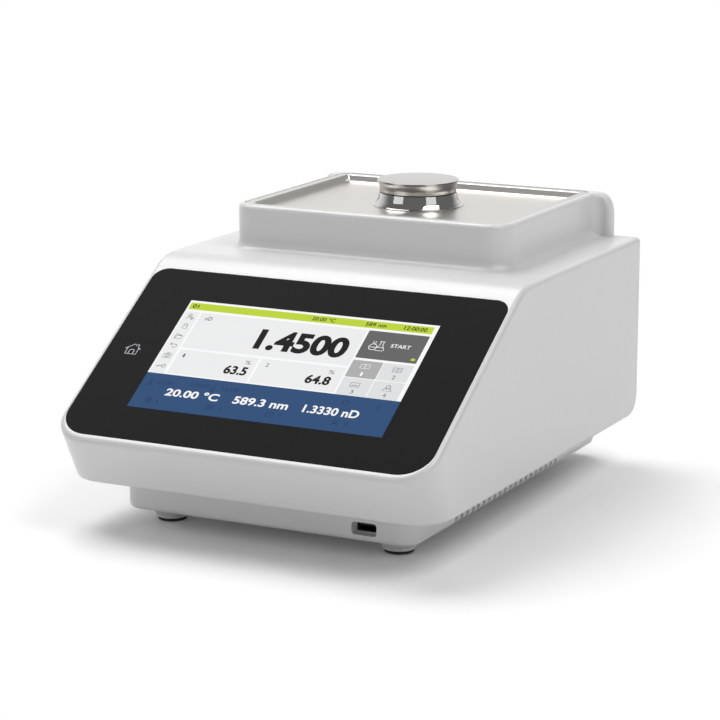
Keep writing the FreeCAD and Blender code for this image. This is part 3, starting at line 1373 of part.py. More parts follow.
def make_power_switch():
    """Rocker switch: frame with its well, and the rocker on its pin, stored in the off position."""
    frame = frame_of("switch_frame")

    def around(grow, radius=None):
        return rectangle("switch_x - switch_width / 2 - (%s)" % grow,
                         "switch_x + switch_width / 2 + (%s)" % grow,
                         "switch_z - switch_height / 2 - (%s)" % grow,
                         "switch_z + switch_height / 2 + (%s)" % grow, radius)

    extrude(frame, "Pad", "case", "XZ", "panel_rear - switch_length", "panel_rear", [around("0")])
    extrude(frame, "Pad", "flange", "XZ", "panel_rear", "panel_rear + switch_proud",
            [around("switch_flange", "switch_flange")])
    extrude(frame, "Pocket", "well", "XZ", "panel_rear - switch_length + switch_wall",
            "panel_rear + switch_proud + 1", [around("-switch_wall")])
    extrude(frame, "Pocket", "pivots", "YZ", "switch_x - switch_width / 2 + switch_wall / 3",
            "switch_x + switch_width / 2 - switch_wall / 3",
            circles=[("panel_rear - rocker_setback", "switch_z", "rocker_pin_radius + running_gap")])
    keep(frame)
    rocker = frame_of("switch_rocker")
    rocker.Placement = Placement(Vector(0, 0, 0), Rotation(Vector(1, 0, 0), value("rocker_tilt")))
    bind(rocker, Placement__Rotation__Angle="rocker_tilt", Placement__Base__x="switch_x",
         Placement__Base__y="panel_rear - rocker_setback", Placement__Base__z="switch_z")
    half_height = "(switch_height / 2 - switch_wall - rocker_gap)"
    half_width = "(switch_width / 2 - switch_wall - rocker_gap)"
    face = "(switch_proud + rocker_setback - rocker_dip)"
    tip = "(%s - rocker_draft)" % half_height
    extrude(rocker, "Pad", "paddle", "YZ", "-" + half_width, half_width, [[
        ("-rocker_depth", "-rocker_heel"), (face + " - rocker_lip", "-" + tip),
        (face + " + rocker_horn", "-" + tip, "rocker_round"), (face, "0", "rocker_hollow_round"),
        (face + " + rocker_horn", tip, "rocker_round"), (face + " - rocker_lip", tip),
        ("-rocker_depth", "rocker_heel")]])
    pin = "(switch_width / 2 - switch_wall / 3 - fit_gap)"
    extrude(rocker, "Pad", "pin", "YZ", "-" + pin, pin, circles=[("0", "0", "rocker_pin_radius")])
    keep(rocker)


def make_rear_sockets():
    """Interface board with the network, USB and serial sockets that reach through the panel."""
    board = frame_of("interface_board")
    extrude(board, "Pad", "board", "XY", "io_board_z", "io_top",
            [rectangle("io_board_left", "io_board_left + io_board_width",
                       "io_rear_y - io_board_length", "io_rear_y")],
            circles=[(x, y, "screw_radius + fit_gap") for x, y in IO_BOARD_SPOTS])
    keep(board)
    lan = frame_of("network_socket")
    extrude(lan, "Pad", "case", "XZ", "panel_rear - lan_length", "panel_rear", [rectangle(
        "lan_x - lan_width / 2", "lan_x + lan_width / 2", "io_top", "io_top + lan_height")])
    extrude(lan, "Pocket", "mouth", "XZ", "panel_rear - lan_length / 2", "panel_rear + 1", [[
        ("lan_x - lan_width / 2 + lan_wall * 2", "io_top + lan_wall * 2.5"),
        ("lan_x - lan_width / 6", "io_top + lan_wall * 2.5"), ("lan_x - lan_width / 6", "io_top + lan_wall"),
        ("lan_x + lan_width / 6", "io_top + lan_wall"), ("lan_x + lan_width / 6", "io_top + lan_wall * 2.5"),
        ("lan_x + lan_width / 2 - lan_wall * 2", "io_top + lan_wall * 2.5"),
        ("lan_x + lan_width / 2 - lan_wall * 2", "io_top + lan_height - lan_wall * 2"),
        ("lan_x - lan_width / 2 + lan_wall * 2", "io_top + lan_height - lan_wall * 2")]])
    keep(lan)
    rear_pair = (("rear_usb_socket_a", "usb_rear_x"), ("rear_usb_socket_b", "(usb_rear_x - usb_rear_pitch)"))
    for name, x in rear_pair:
        keep(usb_socket(name, x, "panel_rear", "(io_top + usb_height / 2)", 1))
    serial = frame_of("serial_socket")
    middle = "(io_top + serial_height / 2)"
    extrude(serial, "Pad", "case", "XZ", "panel_front - serial_length", "panel_front", [rectangle(
        "serial_x - serial_width / 2", "serial_x + serial_width / 2", "io_top", "io_top + serial_height")])

    def shell_outline(inset):
        wide = "(serial_shell_width / 2 - %s)" % inset
        high = "(serial_shell_height / 2 - %s)" % inset
        corner = "serial_shell_round - " + inset
        return [("serial_x - %s + serial_shell_taper" % wide, "%s - %s" % (middle, high), corner),
                ("serial_x + %s - serial_shell_taper" % wide, "%s - %s" % (middle, high), corner),
                ("serial_x + " + wide, "%s + %s" % (middle, high), corner),
                ("serial_x - " + wide, "%s + %s" % (middle, high), corner)]

    shell_end = "panel_front + serial_shell_reach + panel_sheet"
    extrude(serial, "Pad", "shell", "XZ", "panel_front", shell_end, [shell_outline("0")])
    extrude(serial, "Pocket", "shell_mouth", "XZ", "panel_front - 1", shell_end + " + 1",
            [shell_outline("serial_shell_wall")])
    pins = [("serial_x + (%g) * serial_pin_pitch" % step, middle + " + serial_pin_rise")
            for step in (-2, -1, 0, 1, 2)]
    pins += [("serial_x + (%g) * serial_pin_pitch" % step, middle + " - serial_pin_rise")
             for step in (-1.5, -0.5, 0.5, 1.5)]
    extrude(serial, "Pad", "pins", "XZ", "panel_front - 2", "panel_front + panel_sheet + 1",
            circles=[(x, z, "serial_pin_radius") for x, z in pins])
    keep(serial)


def write_parts():
    """Check every object and every sub-part's solid, then write one STEP file for each sub-part."""
    doc.recompute()
    broken = [item.Label for item in doc.Objects if "Invalid" in item.State or "Error" in item.State]
    if broken:
        raise RuntimeError("objects that failed: " + ", ".join(broken))
    for item in NODES:
        if item.Shape.isNull() or not item.Shape.isValid() or not item.Shape.Solids:
            raise RuntimeError("no valid solid in " + item.Label)
    os.makedirs("parts", exist_ok=True)
    for item in NODES:
        item.Shape.exportStep(os.path.join("parts", item.Label + ".step"))
        print("%-20s %d solid(s) %10.1f mm3" % (item.Label, len(item.Shape.Solids), item.Shape.Volume))


make_upper_housing()
make_base_housing()
make_feet_and_case_screws()
make_display()
make_sample_plate()
make_prism_ring()
make_prism()
make_sample_cover()
make_optics()
make_cooling()
make_fan()
make_front_port()
make_boards()
make_rear_panel()
make_power_inlet()
make_power_switch()
make_rear_sockets()
write_parts()
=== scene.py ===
import json
import math

import bmesh
import bpy
from mathutils import Matrix, Vector


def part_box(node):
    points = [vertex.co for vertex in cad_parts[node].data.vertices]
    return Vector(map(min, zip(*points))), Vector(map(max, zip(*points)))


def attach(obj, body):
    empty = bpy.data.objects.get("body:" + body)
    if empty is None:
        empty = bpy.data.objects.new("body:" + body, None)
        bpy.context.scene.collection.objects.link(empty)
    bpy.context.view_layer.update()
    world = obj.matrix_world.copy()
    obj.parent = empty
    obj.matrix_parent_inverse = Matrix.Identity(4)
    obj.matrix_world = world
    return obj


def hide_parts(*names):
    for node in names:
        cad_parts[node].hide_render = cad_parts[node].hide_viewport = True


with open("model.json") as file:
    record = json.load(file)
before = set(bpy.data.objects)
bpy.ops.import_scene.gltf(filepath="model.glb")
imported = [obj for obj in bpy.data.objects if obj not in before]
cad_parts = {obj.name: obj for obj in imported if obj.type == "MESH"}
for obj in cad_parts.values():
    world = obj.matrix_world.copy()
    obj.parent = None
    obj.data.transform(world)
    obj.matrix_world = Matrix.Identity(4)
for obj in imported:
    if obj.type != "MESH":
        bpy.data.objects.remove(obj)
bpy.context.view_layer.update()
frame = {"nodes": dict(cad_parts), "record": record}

# Benchtop refractometer: looks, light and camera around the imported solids. Metres unless a name says MM.
MM = 0.001
NODES = frame["nodes"]
# Points of a mesh that are closer than this become one
SAME_POINT = 1e-7


# Small helpers for meshes

def link(name, mesh, material, body):
    """Put a mesh into the scene as a piece that rides on a body."""
    piece = bpy.data.objects.new(name, mesh)
    bpy.context.scene.collection.objects.link(piece)
    mesh.materials.clear()
    mesh.materials.append(material)
    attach(piece, body)
    return piece


def mesh_from(name, vertices, faces):
    """A smooth mesh whose faces look outward."""
    mesh = bpy.data.meshes.new(name)
    mesh.from_pydata(vertices, [], faces)
    mesh.validate()
    shape = bmesh.new()
    shape.from_mesh(mesh)
    bmesh.ops.remove_doubles(shape, verts=shape.verts, dist=SAME_POINT)
    bmesh.ops.recalc_face_normals(shape, faces=shape.faces)
    shape.to_mesh(mesh)
    shape.free()
    for polygon in mesh.polygons:
        polygon.use_smooth = True
    return mesh


def joined(name, meshes):
    """One mesh from several."""
    shape = bmesh.new()
    for mesh in meshes:
        shape.from_mesh(mesh)
        bpy.data.meshes.remove(mesh)
    mesh = bpy.data.meshes.new(name)
    shape.to_mesh(mesh)
    shape.free()
    return mesh


def sharpen(mesh, degrees):
    """Smooth shading that stays crisp where faces meet at more than an angle."""
    mesh.set_sharp_from_angle(angle=math.radians(degrees))


def round_corner(before, corner, after, radius, steps):
    """Points of a rounding at a corner of a 2D outline."""
    back = (Vector(before) - Vector(corner)).normalized()
    ahead = (Vector(after) - Vector(corner)).normalized()
    half = back.angle(ahead) / 2
    setback = radius / math.tan(half)
    centre = Vector(corner) + (back + ahead).normalized() * radius / math.sin(half)
    first = Vector(corner) + back * setback - centre
    last = Vector(corner) + ahead * setback - centre
    sweep = first.angle_signed(last)
    return [centre + Matrix.Rotation(-sweep * step / steps, 2) @ first for step in range(steps + 1)]


def rounded(outline, steps):
    """The points of an outline of (u, v) or (u, v, radius) corners, where a radius rounds its corner.

    The two ends of an open outline have no radius and stay as they are.
    """
    points = []
    for index, corner in enumerate(outline):
        if len(corner) < 3:
            points.append(Vector(corner))
            continue
        after = outline[(index + 1) % len(outline)]
        points += round_corner(outline[index - 1][:2], corner[:2], after[:2], corner[2], steps)
    return points


def grid_faces(rows, count):
    """Faces between closed rows of vertices; the last row joins the first."""
    faces = []
    for row in range(rows):
        here = row * count
        far = (row + 1) % rows * count
        for index in range(count):
            after = (index + 1) % count
            faces.append((here + index, far + index, far + after, here + after))
    return faces


def lathe(name, outline, centre, segments, steps):
    """Turn a closed outline of (radius, height) corners round the vertical line through centre."""
    profile = rounded(outline, steps)
    vertices = []
    for turn in range(segments):
        angle = math.tau * turn / segments
        for point in profile:
            x = centre[0] + point.x * math.cos(angle)
            y = centre[1] + point.x * math.sin(angle)
            vertices.append((x, y, point.y))
    return mesh_from(name, vertices, grid_faces(segments, len(profile)))


# Materials

def new_material(name):
    """A material with its nodes, its links and its shader."""
    material = bpy.data.materials.new(name)
    material.use_nodes = True
    nodes = material.node_tree.nodes
    return material, nodes, material.node_tree.links, nodes["Principled BSDF"]


def add_noise(nodes, links, scale, detail, stretch=(1, 1, 1)):
    """Noise in the object's own coordinates, in features per metre, stretched along the axes."""
    place = nodes.new("ShaderNodeTexCoord")
    mapping = nodes.new("ShaderNodeMapping")
    mapping.inputs["Scale"].default_value = stretch
    noise = nodes.new("ShaderNodeTexNoise")
    noise.inputs["Scale"].default_value = scale
    noise.inputs["Detail"].default_value = detail
    links.new(place.outputs["Object"], mapping.inputs["Vector"])
    links.new(mapping.outputs["Vector"], noise.inputs["Vector"])
    return noise


def map_to(nodes, links, value, low, high):
    """A value from 0 to 1, spread over low to high."""
    spread = nodes.new("ShaderNodeMapRange")
    spread.inputs["To Min"].default_value = low
    spread.inputs["To Max"].default_value = high
    links.new(value, spread.inputs["Value"])
    return spread.outputs["Result"]


def scaled(color, factor):
    """A colour made darker or lighter, up to white."""
    return [min(1, channel * factor) for channel in color]


def blend(nodes, links, factor, first, second):
    """Mix of two colours, each a grey value, a list of three channels or a socket."""
    mix = nodes.new("ShaderNodeMix")
    mix.data_type = "RGBA"
    for key, color in (("A", first), ("B", second)):
        if isinstance(color, bpy.types.NodeSocket):
            links.new(color, mix.inputs[key])
        elif isinstance(color, float):
            mix.inputs[key].default_value = (color, color, color, 1)
        else:
            mix.inputs[key].default_value = (*color, 1)
    links.new(factor, mix.inputs["Factor"])
    return mix.outputs["Result"]


def add_bump(nodes, links, height, shader, distance):
    """Let a height from 0 to 1 raise the surface by up to a distance."""
    bump = nodes.new("ShaderNodeBump")
    bump.inputs["Distance"].default_value = distance
    bump.inputs["Strength"].default_value = 1.0
    links.new(height, bump.inputs["Height"])
    links.new(bump.outputs["Normal"], shader.inputs["Normal"])


def plastic(name, color, roughness, grain=1400, depth=0.00001, mottle=0.02, specular=0.5):
    """Moulded plastic: fine grain, a trace of mottling and a slightly uneven gloss."""
    material, nodes, links, shader = new_material(name)
    fine = add_noise(nodes, links, grain, detail=2)
    broad = add_noise(nodes, links, scale=35, detail=2).outputs["Fac"]
    uneven = 0.04
    links.new(blend(nodes, links, broad, scaled(color, 1 - mottle), scaled(color, 1 + mottle)),
              shader.inputs["Base Color"])
    links.new(map_to(nodes, links, broad, roughness - uneven, roughness + uneven),
              shader.inputs["Roughness"])
    shader.inputs["Specular IOR Level"].default_value = specular
    add_bump(nodes, links, fine.outputs["Fac"], shader, depth)
    return material


def brushed(name, color, roughness, stretch, grain=900, depth=0.000004, spread=0.08):
    """Brushed metal: streaks in one direction that vary colour, gloss and surface."""
    material, nodes, links, shader = new_material(name)
    streaks = add_noise(nodes, links, grain, detail=4, stretch=stretch).outputs["Fac"]
    broad = add_noise(nodes, links, scale=18, detail=2).outputs["Fac"]
    links.new(blend(nodes, links, streaks, scaled(color, 0.94), color), shader.inputs["Base Color"])
    gloss = nodes.new("ShaderNodeMath")
    gloss.operation = "MULTIPLY_ADD"
    gloss.inputs[1].default_value = spread
    links.new(streaks, gloss.inputs[0])
    links.new(map_to(nodes, links, broad, roughness - spread, roughness), gloss.inputs[2])
    links.new(gloss.outputs[0], shader.inputs["Roughness"])
    shader.inputs["Metallic"].default_value = 1.0
    add_bump(nodes, links, streaks, shader, depth)
    return material


def turned(name, color, roughness, centre, grain=2600):
    """Metal turned on a lathe: fine rings about the vertical line through centre."""
    material, nodes, links, shader = new_material(name)
    place = nodes.new("ShaderNodeTexCoord")
    offset = nodes.new("ShaderNodeVectorMath")
    offset.operation = "SUBTRACT"
    offset.inputs[1].default_value = (centre[0], centre[1], 0)
    split = nodes.new("ShaderNodeSeparateXYZ")
    flat = nodes.new("ShaderNodeCombineXYZ")
    radius = nodes.new("ShaderNodeVectorMath")
    radius.operation = "LENGTH"
    rings = nodes.new("ShaderNodeCombineXYZ")
    noise = nodes.new("ShaderNodeTexNoise")
    noise.inputs["Scale"].default_value = grain
    noise.inputs["Detail"].default_value = 3
    links.new(place.outputs["Object"], offset.inputs[0])
    links.new(offset.outputs["Vector"], split.inputs[0])
    links.new(split.outputs["X"], flat.inputs["X"])
    links.new(split.outputs["Y"], flat.inputs["Y"])
    links.new(flat.outputs[0], radius.inputs[0])
    links.new(radius.outputs["Value"], rings.inputs["X"])
    links.new(split.outputs["Z"], rings.inputs["Z"])
    links.new(rings.outputs[0], noise.inputs["Vector"])
    grooves = noise.outputs["Fac"]
    uneven = 0.03
    links.new(blend(nodes, links, grooves, scaled(color, 0.95), color), shader.inputs["Base Color"])
    links.new(map_to(nodes, links, grooves, roughness - uneven, roughness + uneven),
              shader.inputs["Roughness"])
    shader.inputs["Metallic"].default_value = 1.0
    add_bump(nodes, links, grooves, shader, distance=0.000003)
    return material


def polished(name, color, roughness):
    """Mirror-like steel with faint polishing haze."""
    material, nodes, links, shader = new_material(name)
    haze = add_noise(nodes, links, scale=220, detail=3).outputs["Fac"]
    links.new(map_to(nodes, links, haze, roughness * 0.7, roughness * 1.4), shader.inputs["Roughness"])
    links.new(blend(nodes, links, haze, scaled(color, 0.97), color), shader.inputs["Base Color"])
    shader.inputs["Metallic"].default_value = 1.0
    return material


# The cover glass carries an anti-reflection coating
GLASS_SPECULAR = 0.02
GLASS_DARKEST = (0.0065, 0.0066, 0.0072)
GLASS_LIGHTEST = (0.0085, 0.0086, 0.0092)


def black_glass(name):
    """Back-printed cover glass: deep black under a clear glossy face, with faint finger haze."""
    material, nodes, links, shader = new_material(name)
    haze = add_noise(nodes, links, scale=60, detail=3).outputs["Fac"]
    links.new(blend(nodes, links, haze, GLASS_DARKEST, GLASS_LIGHTEST), shader.inputs["Base Color"])
    links.new(map_to(nodes, links, haze, low=0.08, high=0.12), shader.inputs["Roughness"])
    shader.inputs["Specular IOR Level"].default_value = GLASS_SPECULAR
    return material


def lit(name, color):
    """A colour of the display, which shines through the glass."""
    material, nodes, links, shader = new_material(name)
    glow = add_noise(nodes, links, scale=40, detail=1).outputs["Fac"]
    links.new(blend(nodes, links, glow, scaled(color, 0.985), color), shader.inputs["Emission Color"])
    shader.inputs["Base Color"].default_value = (0.004, 0.004, 0.004, 1)
    shader.inputs["Emission Strength"].default_value = 1.0
    shader.inputs["Roughness"].default_value = 0.1
    shader.inputs["Specular IOR Level"].default_value = GLASS_SPECULAR
    return material


def clear_glass(name, color, ior):
    """Glass to look through, with a faint tint."""
    material, nodes, links, shader = new_material(name)
    haze = add_noise(nodes, links, scale=200, detail=2).outputs["Fac"]
    links.new(blend(nodes, links, haze, scaled(color, 0.98), color), shader.inputs["Base Color"])
    shader.inputs["Transmission Weight"].default_value = 1.0
    shader.inputs["IOR"].default_value = ior
    shader.inputs["Roughness"].default_value = 0.02
    return material


PRISM_LOW, PRISM_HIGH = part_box("prism")
# The vertical line through the prism, which the ring and the cover share
AXIS = ((PRISM_LOW.x + PRISM_HIGH.x) / 2, (PRISM_LOW.y + PRISM_HIGH.y) / 2)

MATERIALS = {
    "shell_white": plastic("shell_white", (0.705, 0.705, 0.705), 0.3, depth=0.000005, mottle=0.006,
                           specular=0.7),
    "base_grey": plastic("base_grey", (0.75, 0.75, 0.752), 0.4, depth=0.000009, mottle=0.01),
    "glass_black": black_glass("glass_black"),
    "display": plastic("display", (0.05, 0.055, 0.06), 0.4),
    "bracket_steel": brushed("bracket_steel", (0.6, 0.6, 0.59), 0.38, stretch=(1, 12, 12)),
    "screw_steel": turned("screw_steel", (0.62, 0.62, 0.63), 0.3, centre=(0, 0), grain=1800),
    "key_foil": plastic("key_foil", (0.55, 0.4, 0.16), 0.4),
    "tray_steel": brushed("tray_steel", (0.70, 0.68, 0.65), 0.34, stretch=(0.08, 1, 1), grain=2600,
                          depth=0.0000006, spread=0.02),
    "ring_steel": polished("ring_steel", (0.62, 0.615, 0.60), 0.05),
    "prism_glass": clear_glass("prism_glass", (0.93, 0.96, 0.98), ior=1.7),
    "seal_black": plastic("seal_black", (0.02, 0.02, 0.02), 0.6),
    "cover_steel": turned("cover_steel", (0.51, 0.49, 0.465), 0.2, centre=AXIS),
    "block_metal": brushed("block_metal", (0.72, 0.73, 0.74), 0.4, stretch=(1, 8, 8)),
    "ceramic": plastic("ceramic", (0.82, 0.82, 0.79), 0.6, grain=900, depth=0.000012),
    "sink_metal": brushed("sink_metal", (0.68, 0.69, 0.71), 0.42, stretch=(8, 0.3, 8)),
    "tube_black": plastic("tube_black", (0.03, 0.03, 0.033), 0.45, grain=2200, depth=0.000008),
    "lens_glass": clear_glass("lens_glass", (0.95, 0.97, 0.98), ior=1.52),
    "board_green": plastic("board_green", (0.02, 0.14, 0.06), 0.35, grain=500, mottle=0.08),
    "chip_black": plastic("chip_black", (0.03, 0.03, 0.032), 0.5, grain=1800),
    "led_amber": plastic("led_amber", (0.9, 0.5, 0.06), 0.12, grain=300, depth=0.000002),
    "probe_steel": brushed("probe_steel", (0.62, 0.62, 0.61), 0.3, stretch=(10, 1, 10)),
    "fan_black": plastic("fan_black", (0.022, 0.022, 0.024), 0.42, grain=1500, depth=0.000012),
    "panel_grey": plastic("panel_grey", (0.47, 0.48, 0.5), 0.5, grain=1100, depth=0.00003),
    "inlet_black": plastic("inlet_black", (0.018, 0.018, 0.02), 0.4, grain=1500),
    "pin_metal": brushed("pin_metal", (0.78, 0.74, 0.62), 0.24, stretch=(10, 1, 10)),
    "switch_black": plastic("switch_black", (0.02, 0.02, 0.022), 0.22, grain=900, depth=0.000004),
    "socket_steel": brushed("socket_steel", (0.66, 0.66, 0.67), 0.3, stretch=(10, 0.6, 10), grain=1400),
    "foot_rubber": plastic("foot_rubber", (0.03, 0.03, 0.031), 0.75, grain=1600, depth=0.00003),
}


# The front socket's shell and tongue are made black, painted shade of the socket's dark inside, unlike the
# steel ones at the back
OTHER_LOOKS = {"front_usb_socket": "tube_black"}


def finish_nodes():
    """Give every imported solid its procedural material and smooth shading."""
    slots = {part["node"]: part["material_slot"] for part in frame["record"]["subparts"]}
    for name, item in NODES.items():
        item.data.materials.clear()
        item.data.materials.append(MATERIALS[OTHER_LOOKS.get(name, slots[name])])
        for polygon in item.data.polygons:
            polygon.use_smooth = True


# The inclined face: positions in millimetres across (X) and up the slope, from the glass's lower edge
FACE_ANGLE = math.radians(32.93)
GLASS = [vertex.co for vertex in NODES["cover_glass"].data.vertices]
FACE_START = min(point.y * math.cos(FACE_ANGLE) + point.z * math.sin(FACE_ANGLE) for point in GLASS)
FACE_HEIGHT = max(point.z * math.cos(FACE_ANGLE) - point.y * math.sin(FACE_ANGLE) for point in GLASS)
TO_FACE = (Matrix.Rotation(FACE_ANGLE, 4, "X") @ Matrix.Translation((0, FACE_START, FACE_HEIGHT))
           @ Matrix.Scale(MM, 4))


def on_face(mesh):
    """Move a mesh drawn in millimetres (across, up the slope, out of the glass) onto the glass."""
    mesh.transform(TO_FACE)
    return mesh


# Steps of a rounded tile's corner and of a drawn circle, and the width of an icon's lines in millimetres
TILE_CORNER_STEPS = 4
CIRCLE_STEPS = 20
LINE_WIDTH = 0.5
OPEN, CLOSED = False, True


def corners_of(left, right, low, high):
    return [(left, low), (right, low), (right, high), (left, high)]


def tile(left, right, low, high, top, radius):
    """A thin flat tile on the glass; a radius of 0 leaves its corners sharp."""
    corners = corners_of(left, right, low, high)
    if radius:
        corners = [(*corner, radius) for corner in corners]
    outline = rounded(corners, TILE_CORNER_STEPS)
    count = len(outline)
    vertices = [(p.x, p.y, level) for level in (0.0, top) for p in outline]
    faces = [tuple(range(count))[::-1], tuple(range(count, 2 * count))]
    faces += [(i, (i + 1) % count, count + (i + 1) % count, count + i) for i in range(count)]
    mesh = bpy.data.meshes.new("tile")
    mesh.from_pydata(vertices, [], faces)
    return mesh


def mesh_of(curve):
    """The mesh of a curve or a text, which is then removed."""
    holder = bpy.data.objects.new("drawing", curve)
    bpy.context.scene.collection.objects.link(holder)
    graph = bpy.context.evaluated_depsgraph_get()
    mesh = bpy.data.meshes.new_from_object(holder.evaluated_get(graph))
    bpy.data.objects.remove(holder)
    bpy.data.curves.remove(curve)
    return mesh


def writing(text, left, right, low, high, top, weight):
    """Numerals and symbols in the built-in typeface, fitted to a rectangle; weight makes them bolder."""
    curve = bpy.data.curves.new("writing", "FONT")
    curve.body = text
    curve.offset = weight
    curve.resolution_u = 6
    curve.extrude = 0.5
    mesh = mesh_of(curve)
    xs = [vertex.co.x for vertex in mesh.vertices]
    ys = [vertex.co.y for vertex in mesh.vertices]
    across = (right - left) / (max(xs) - min(xs))
    up = (high - low) / (max(ys) - min(ys))
    for vertex in mesh.vertices:
        x = left + (vertex.co.x - min(xs)) * across
        y = low + (vertex.co.y - min(ys)) * up
        vertex.co = (x, y, top if vertex.co.z > 0 else 0.0)
    return mesh


def stroke(points, top, closed):
    """A drawn line of even width, for icons."""
    curve = bpy.data.curves.new("stroke", "CURVE")
    curve.dimensions = "3D"
    curve.bevel_depth = LINE_WIDTH / 2
    curve.bevel_resolution = 1
    curve.use_fill_caps = True
    spline = curve.splines.new("POLY")
    spline.points.add(len(points) - 1)
    for point, (x, y) in zip(spline.points, points):
        point.co = (x, y, 0, 1)
    spline.use_cyclic_u = closed
    mesh = mesh_of(curve)
    for vertex in mesh.vertices:
        vertex.co.z = top * (0.5 + vertex.co.z / LINE_WIDTH)
    return mesh


def circle(x, y, radius):
    turns = [math.tau * step / CIRCLE_STEPS for step in range(CIRCLE_STEPS)]
    return [(x + radius * math.cos(angle), y + radius * math.sin(angle)) for angle in turns]


def shifted(points, x, y, size):
    return [(x + px * size, y + py * size) for px, py in points]


# Heights of the layers over the glass, in millimetres
LAYER_BACK = 0.02
LAYER_TILE = 0.035
LAYER_MARK = 0.05

# The lit area, with the top of its blue band
SCREEN_LEFT, SCREEN_RIGHT = -76.4, 76.4
SCREEN_LOW, SCREEN_HIGH = 23.5, 106.7
BAND_TOP = 49.6

PALETTE = {
    "screen_white": lit("screen_white", (0.94, 0.945, 0.95)),
    "screen_pale": lit("screen_pale", (0.83, 0.835, 0.84)),
    "screen_green": lit("screen_green", (0.50, 0.66, 0.035)),
    "screen_light": lit("screen_light", (0.73, 0.735, 0.74)),
    "screen_mid": lit("screen_mid", (0.42, 0.42, 0.425)),
    "screen_dark": lit("screen_dark", (0.125, 0.125, 0.128)),
    "screen_blue": lit("screen_blue", (0.022, 0.072, 0.185)),
    "screen_shade": lit("screen_shade", (0.010, 0.040, 0.105)),
    "screen_black": lit("screen_black", (0.004, 0.004, 0.004)),
    "screen_ink": lit("screen_ink", (0.12, 0.12, 0.12)),
}


# Look, left, right, low and high edge, layer and corner radius of each tile
TILES = (
    ("screen_white", SCREEN_LEFT, SCREEN_RIGHT, BAND_TOP, SCREEN_HIGH, LAYER_BACK, 0),
    ("screen_blue", SCREEN_LEFT, SCREEN_RIGHT, SCREEN_LOW, BAND_TOP, LAYER_BACK, 0),
    ("screen_green", -75.2, 73.9, 99.8, 105.1, LAYER_TILE, 0.5),
    ("screen_pale", -75.4, -66.6, BAND_TOP + 0.1, 98.2, LAYER_TILE, 0.3),
    ("screen_pale", -65.4, 36.9, 70.5, 98.0, LAYER_TILE, 0.6),
    ("screen_pale", -64.8, -15.7, BAND_TOP + 0.9, 68.9, LAYER_TILE, 0.6),
    ("screen_pale", -14.3, 36.9, BAND_TOP + 0.9, 68.9, LAYER_TILE, 0.6),
    ("screen_dark", 38.1, 73.9, 77.3, 98.1, LAYER_TILE, 0.6),
    ("screen_mid", 38.1, 55.8, 62.9, 75.6, LAYER_TILE, 0.4),
    ("screen_light", 56.3, 73.9, 62.9, 75.6, LAYER_TILE, 0.4),
    ("screen_light", 38.1, 55.8, BAND_TOP + 0.1, 62.4, LAYER_TILE, 0.4),
    ("screen_light", 56.3, 73.9, BAND_TOP + 0.1, 62.4, LAYER_TILE, 0.4),
    ("screen_green", 69.9, 72.3, 79.2, 80.9, LAYER_MARK, 0.5),
)

# Look, text, left, right, low and high edge, layer and weight of each word or number
WORDS = (
    ("screen_black", "1.4500", -23.6, 31.4, 75.3, 90.8, LAYER_MARK, 0.042),
    ("screen_black", "63.5", -32.5, -18.6, 54.9, 61.4, LAYER_MARK, 0.036),
    ("screen_black", "64.8", 16.9, 31.6, 54.9, 61.4, LAYER_MARK, 0.036),
    ("screen_black", "01", -73.3, -69.5, 101.1, 104.0, LAYER_MARK, 0.015),
    ("screen_black", "20.00 °C", 1.5, 15.5, 101.1, 104.0, LAYER_MARK, 0.015),
    ("screen_black", "589 nm", 34.0, 46.5, 101.1, 104.0, LAYER_MARK, 0.015),
    ("screen_black", "12:00:00", 57.0, 70.5, 101.1, 104.0, LAYER_MARK, 0.015),
    ("screen_ink", "nD", -61.4, -57.0, 92.6, 95.4, LAYER_MARK, 0.015),
    ("screen_ink", "1", -61.4, -60.2, 63.3, 66.0, LAYER_MARK, 0.0),
    ("screen_ink", "2", -9.9, -8.2, 63.3, 66.0, LAYER_MARK, 0.0),
    ("screen_ink", "%", -22.6, -19.0, 63.3, 66.1, LAYER_MARK, 0.0),
    ("screen_ink", "%", 28.0, 31.6, 63.3, 66.1, LAYER_MARK, 0.0),
    ("screen_ink", "2", 64.7, 66.5, 64.6, 67.3, LAYER_MARK, 0.0),
    ("screen_ink", "3", 45.8, 47.6, 51.2, 53.9, LAYER_MARK, 0.0),
    ("screen_ink", "4", 64.7, 66.6, 51.2, 53.9, LAYER_MARK, 0.0),
    ("screen_white", "START", 54.8, 66.4, 87.1, 89.8, LAYER_MARK, 0.012),
    ("screen_white", "1", 46.2, 47.4, 64.4, 67.1, LAYER_MARK, 0.0),
    ("screen_white", "20.00 °C", -58.6, -26.0, 34.2, 39.8, LAYER_MARK, 0.025),
    ("screen_white", "589.3 nm", -17.0, 16.0, 34.2, 39.8, LAYER_MARK, 0.025),
    ("screen_white", "1.3330 nD", 25.0, 57.6, 34.2, 39.8, LAYER_MARK, 0.025),
    ("screen_shade", "20.00", -67.0, -57.0, 42.0, 44.6, LAYER_TILE, 0.0),
    ("screen_shade", "0.00002", -47.0, -35.0, 43.0, 45.6, LAYER_TILE, 0.0),
    ("screen_shade", "12:00", -27.0, -17.0, 42.6, 45.2, LAYER_TILE, 0.0),
    ("screen_shade", "1", -61.0, -60.0, 28.2, 30.8, LAYER_TILE, 0.0),
    ("screen_shade", "2", -22.0, -20.4, 28.2, 30.8, LAYER_TILE, 0.0),
    ("screen_shade", "3", 13.4, 15.0, 28.2, 30.8, LAYER_TILE, 0.0),
    ("screen_shade", "4", 52.0, 53.8, 28.2, 30.8, LAYER_TILE, 0.0),
)


# Icons: lists of lines, each as its points and whether it closes

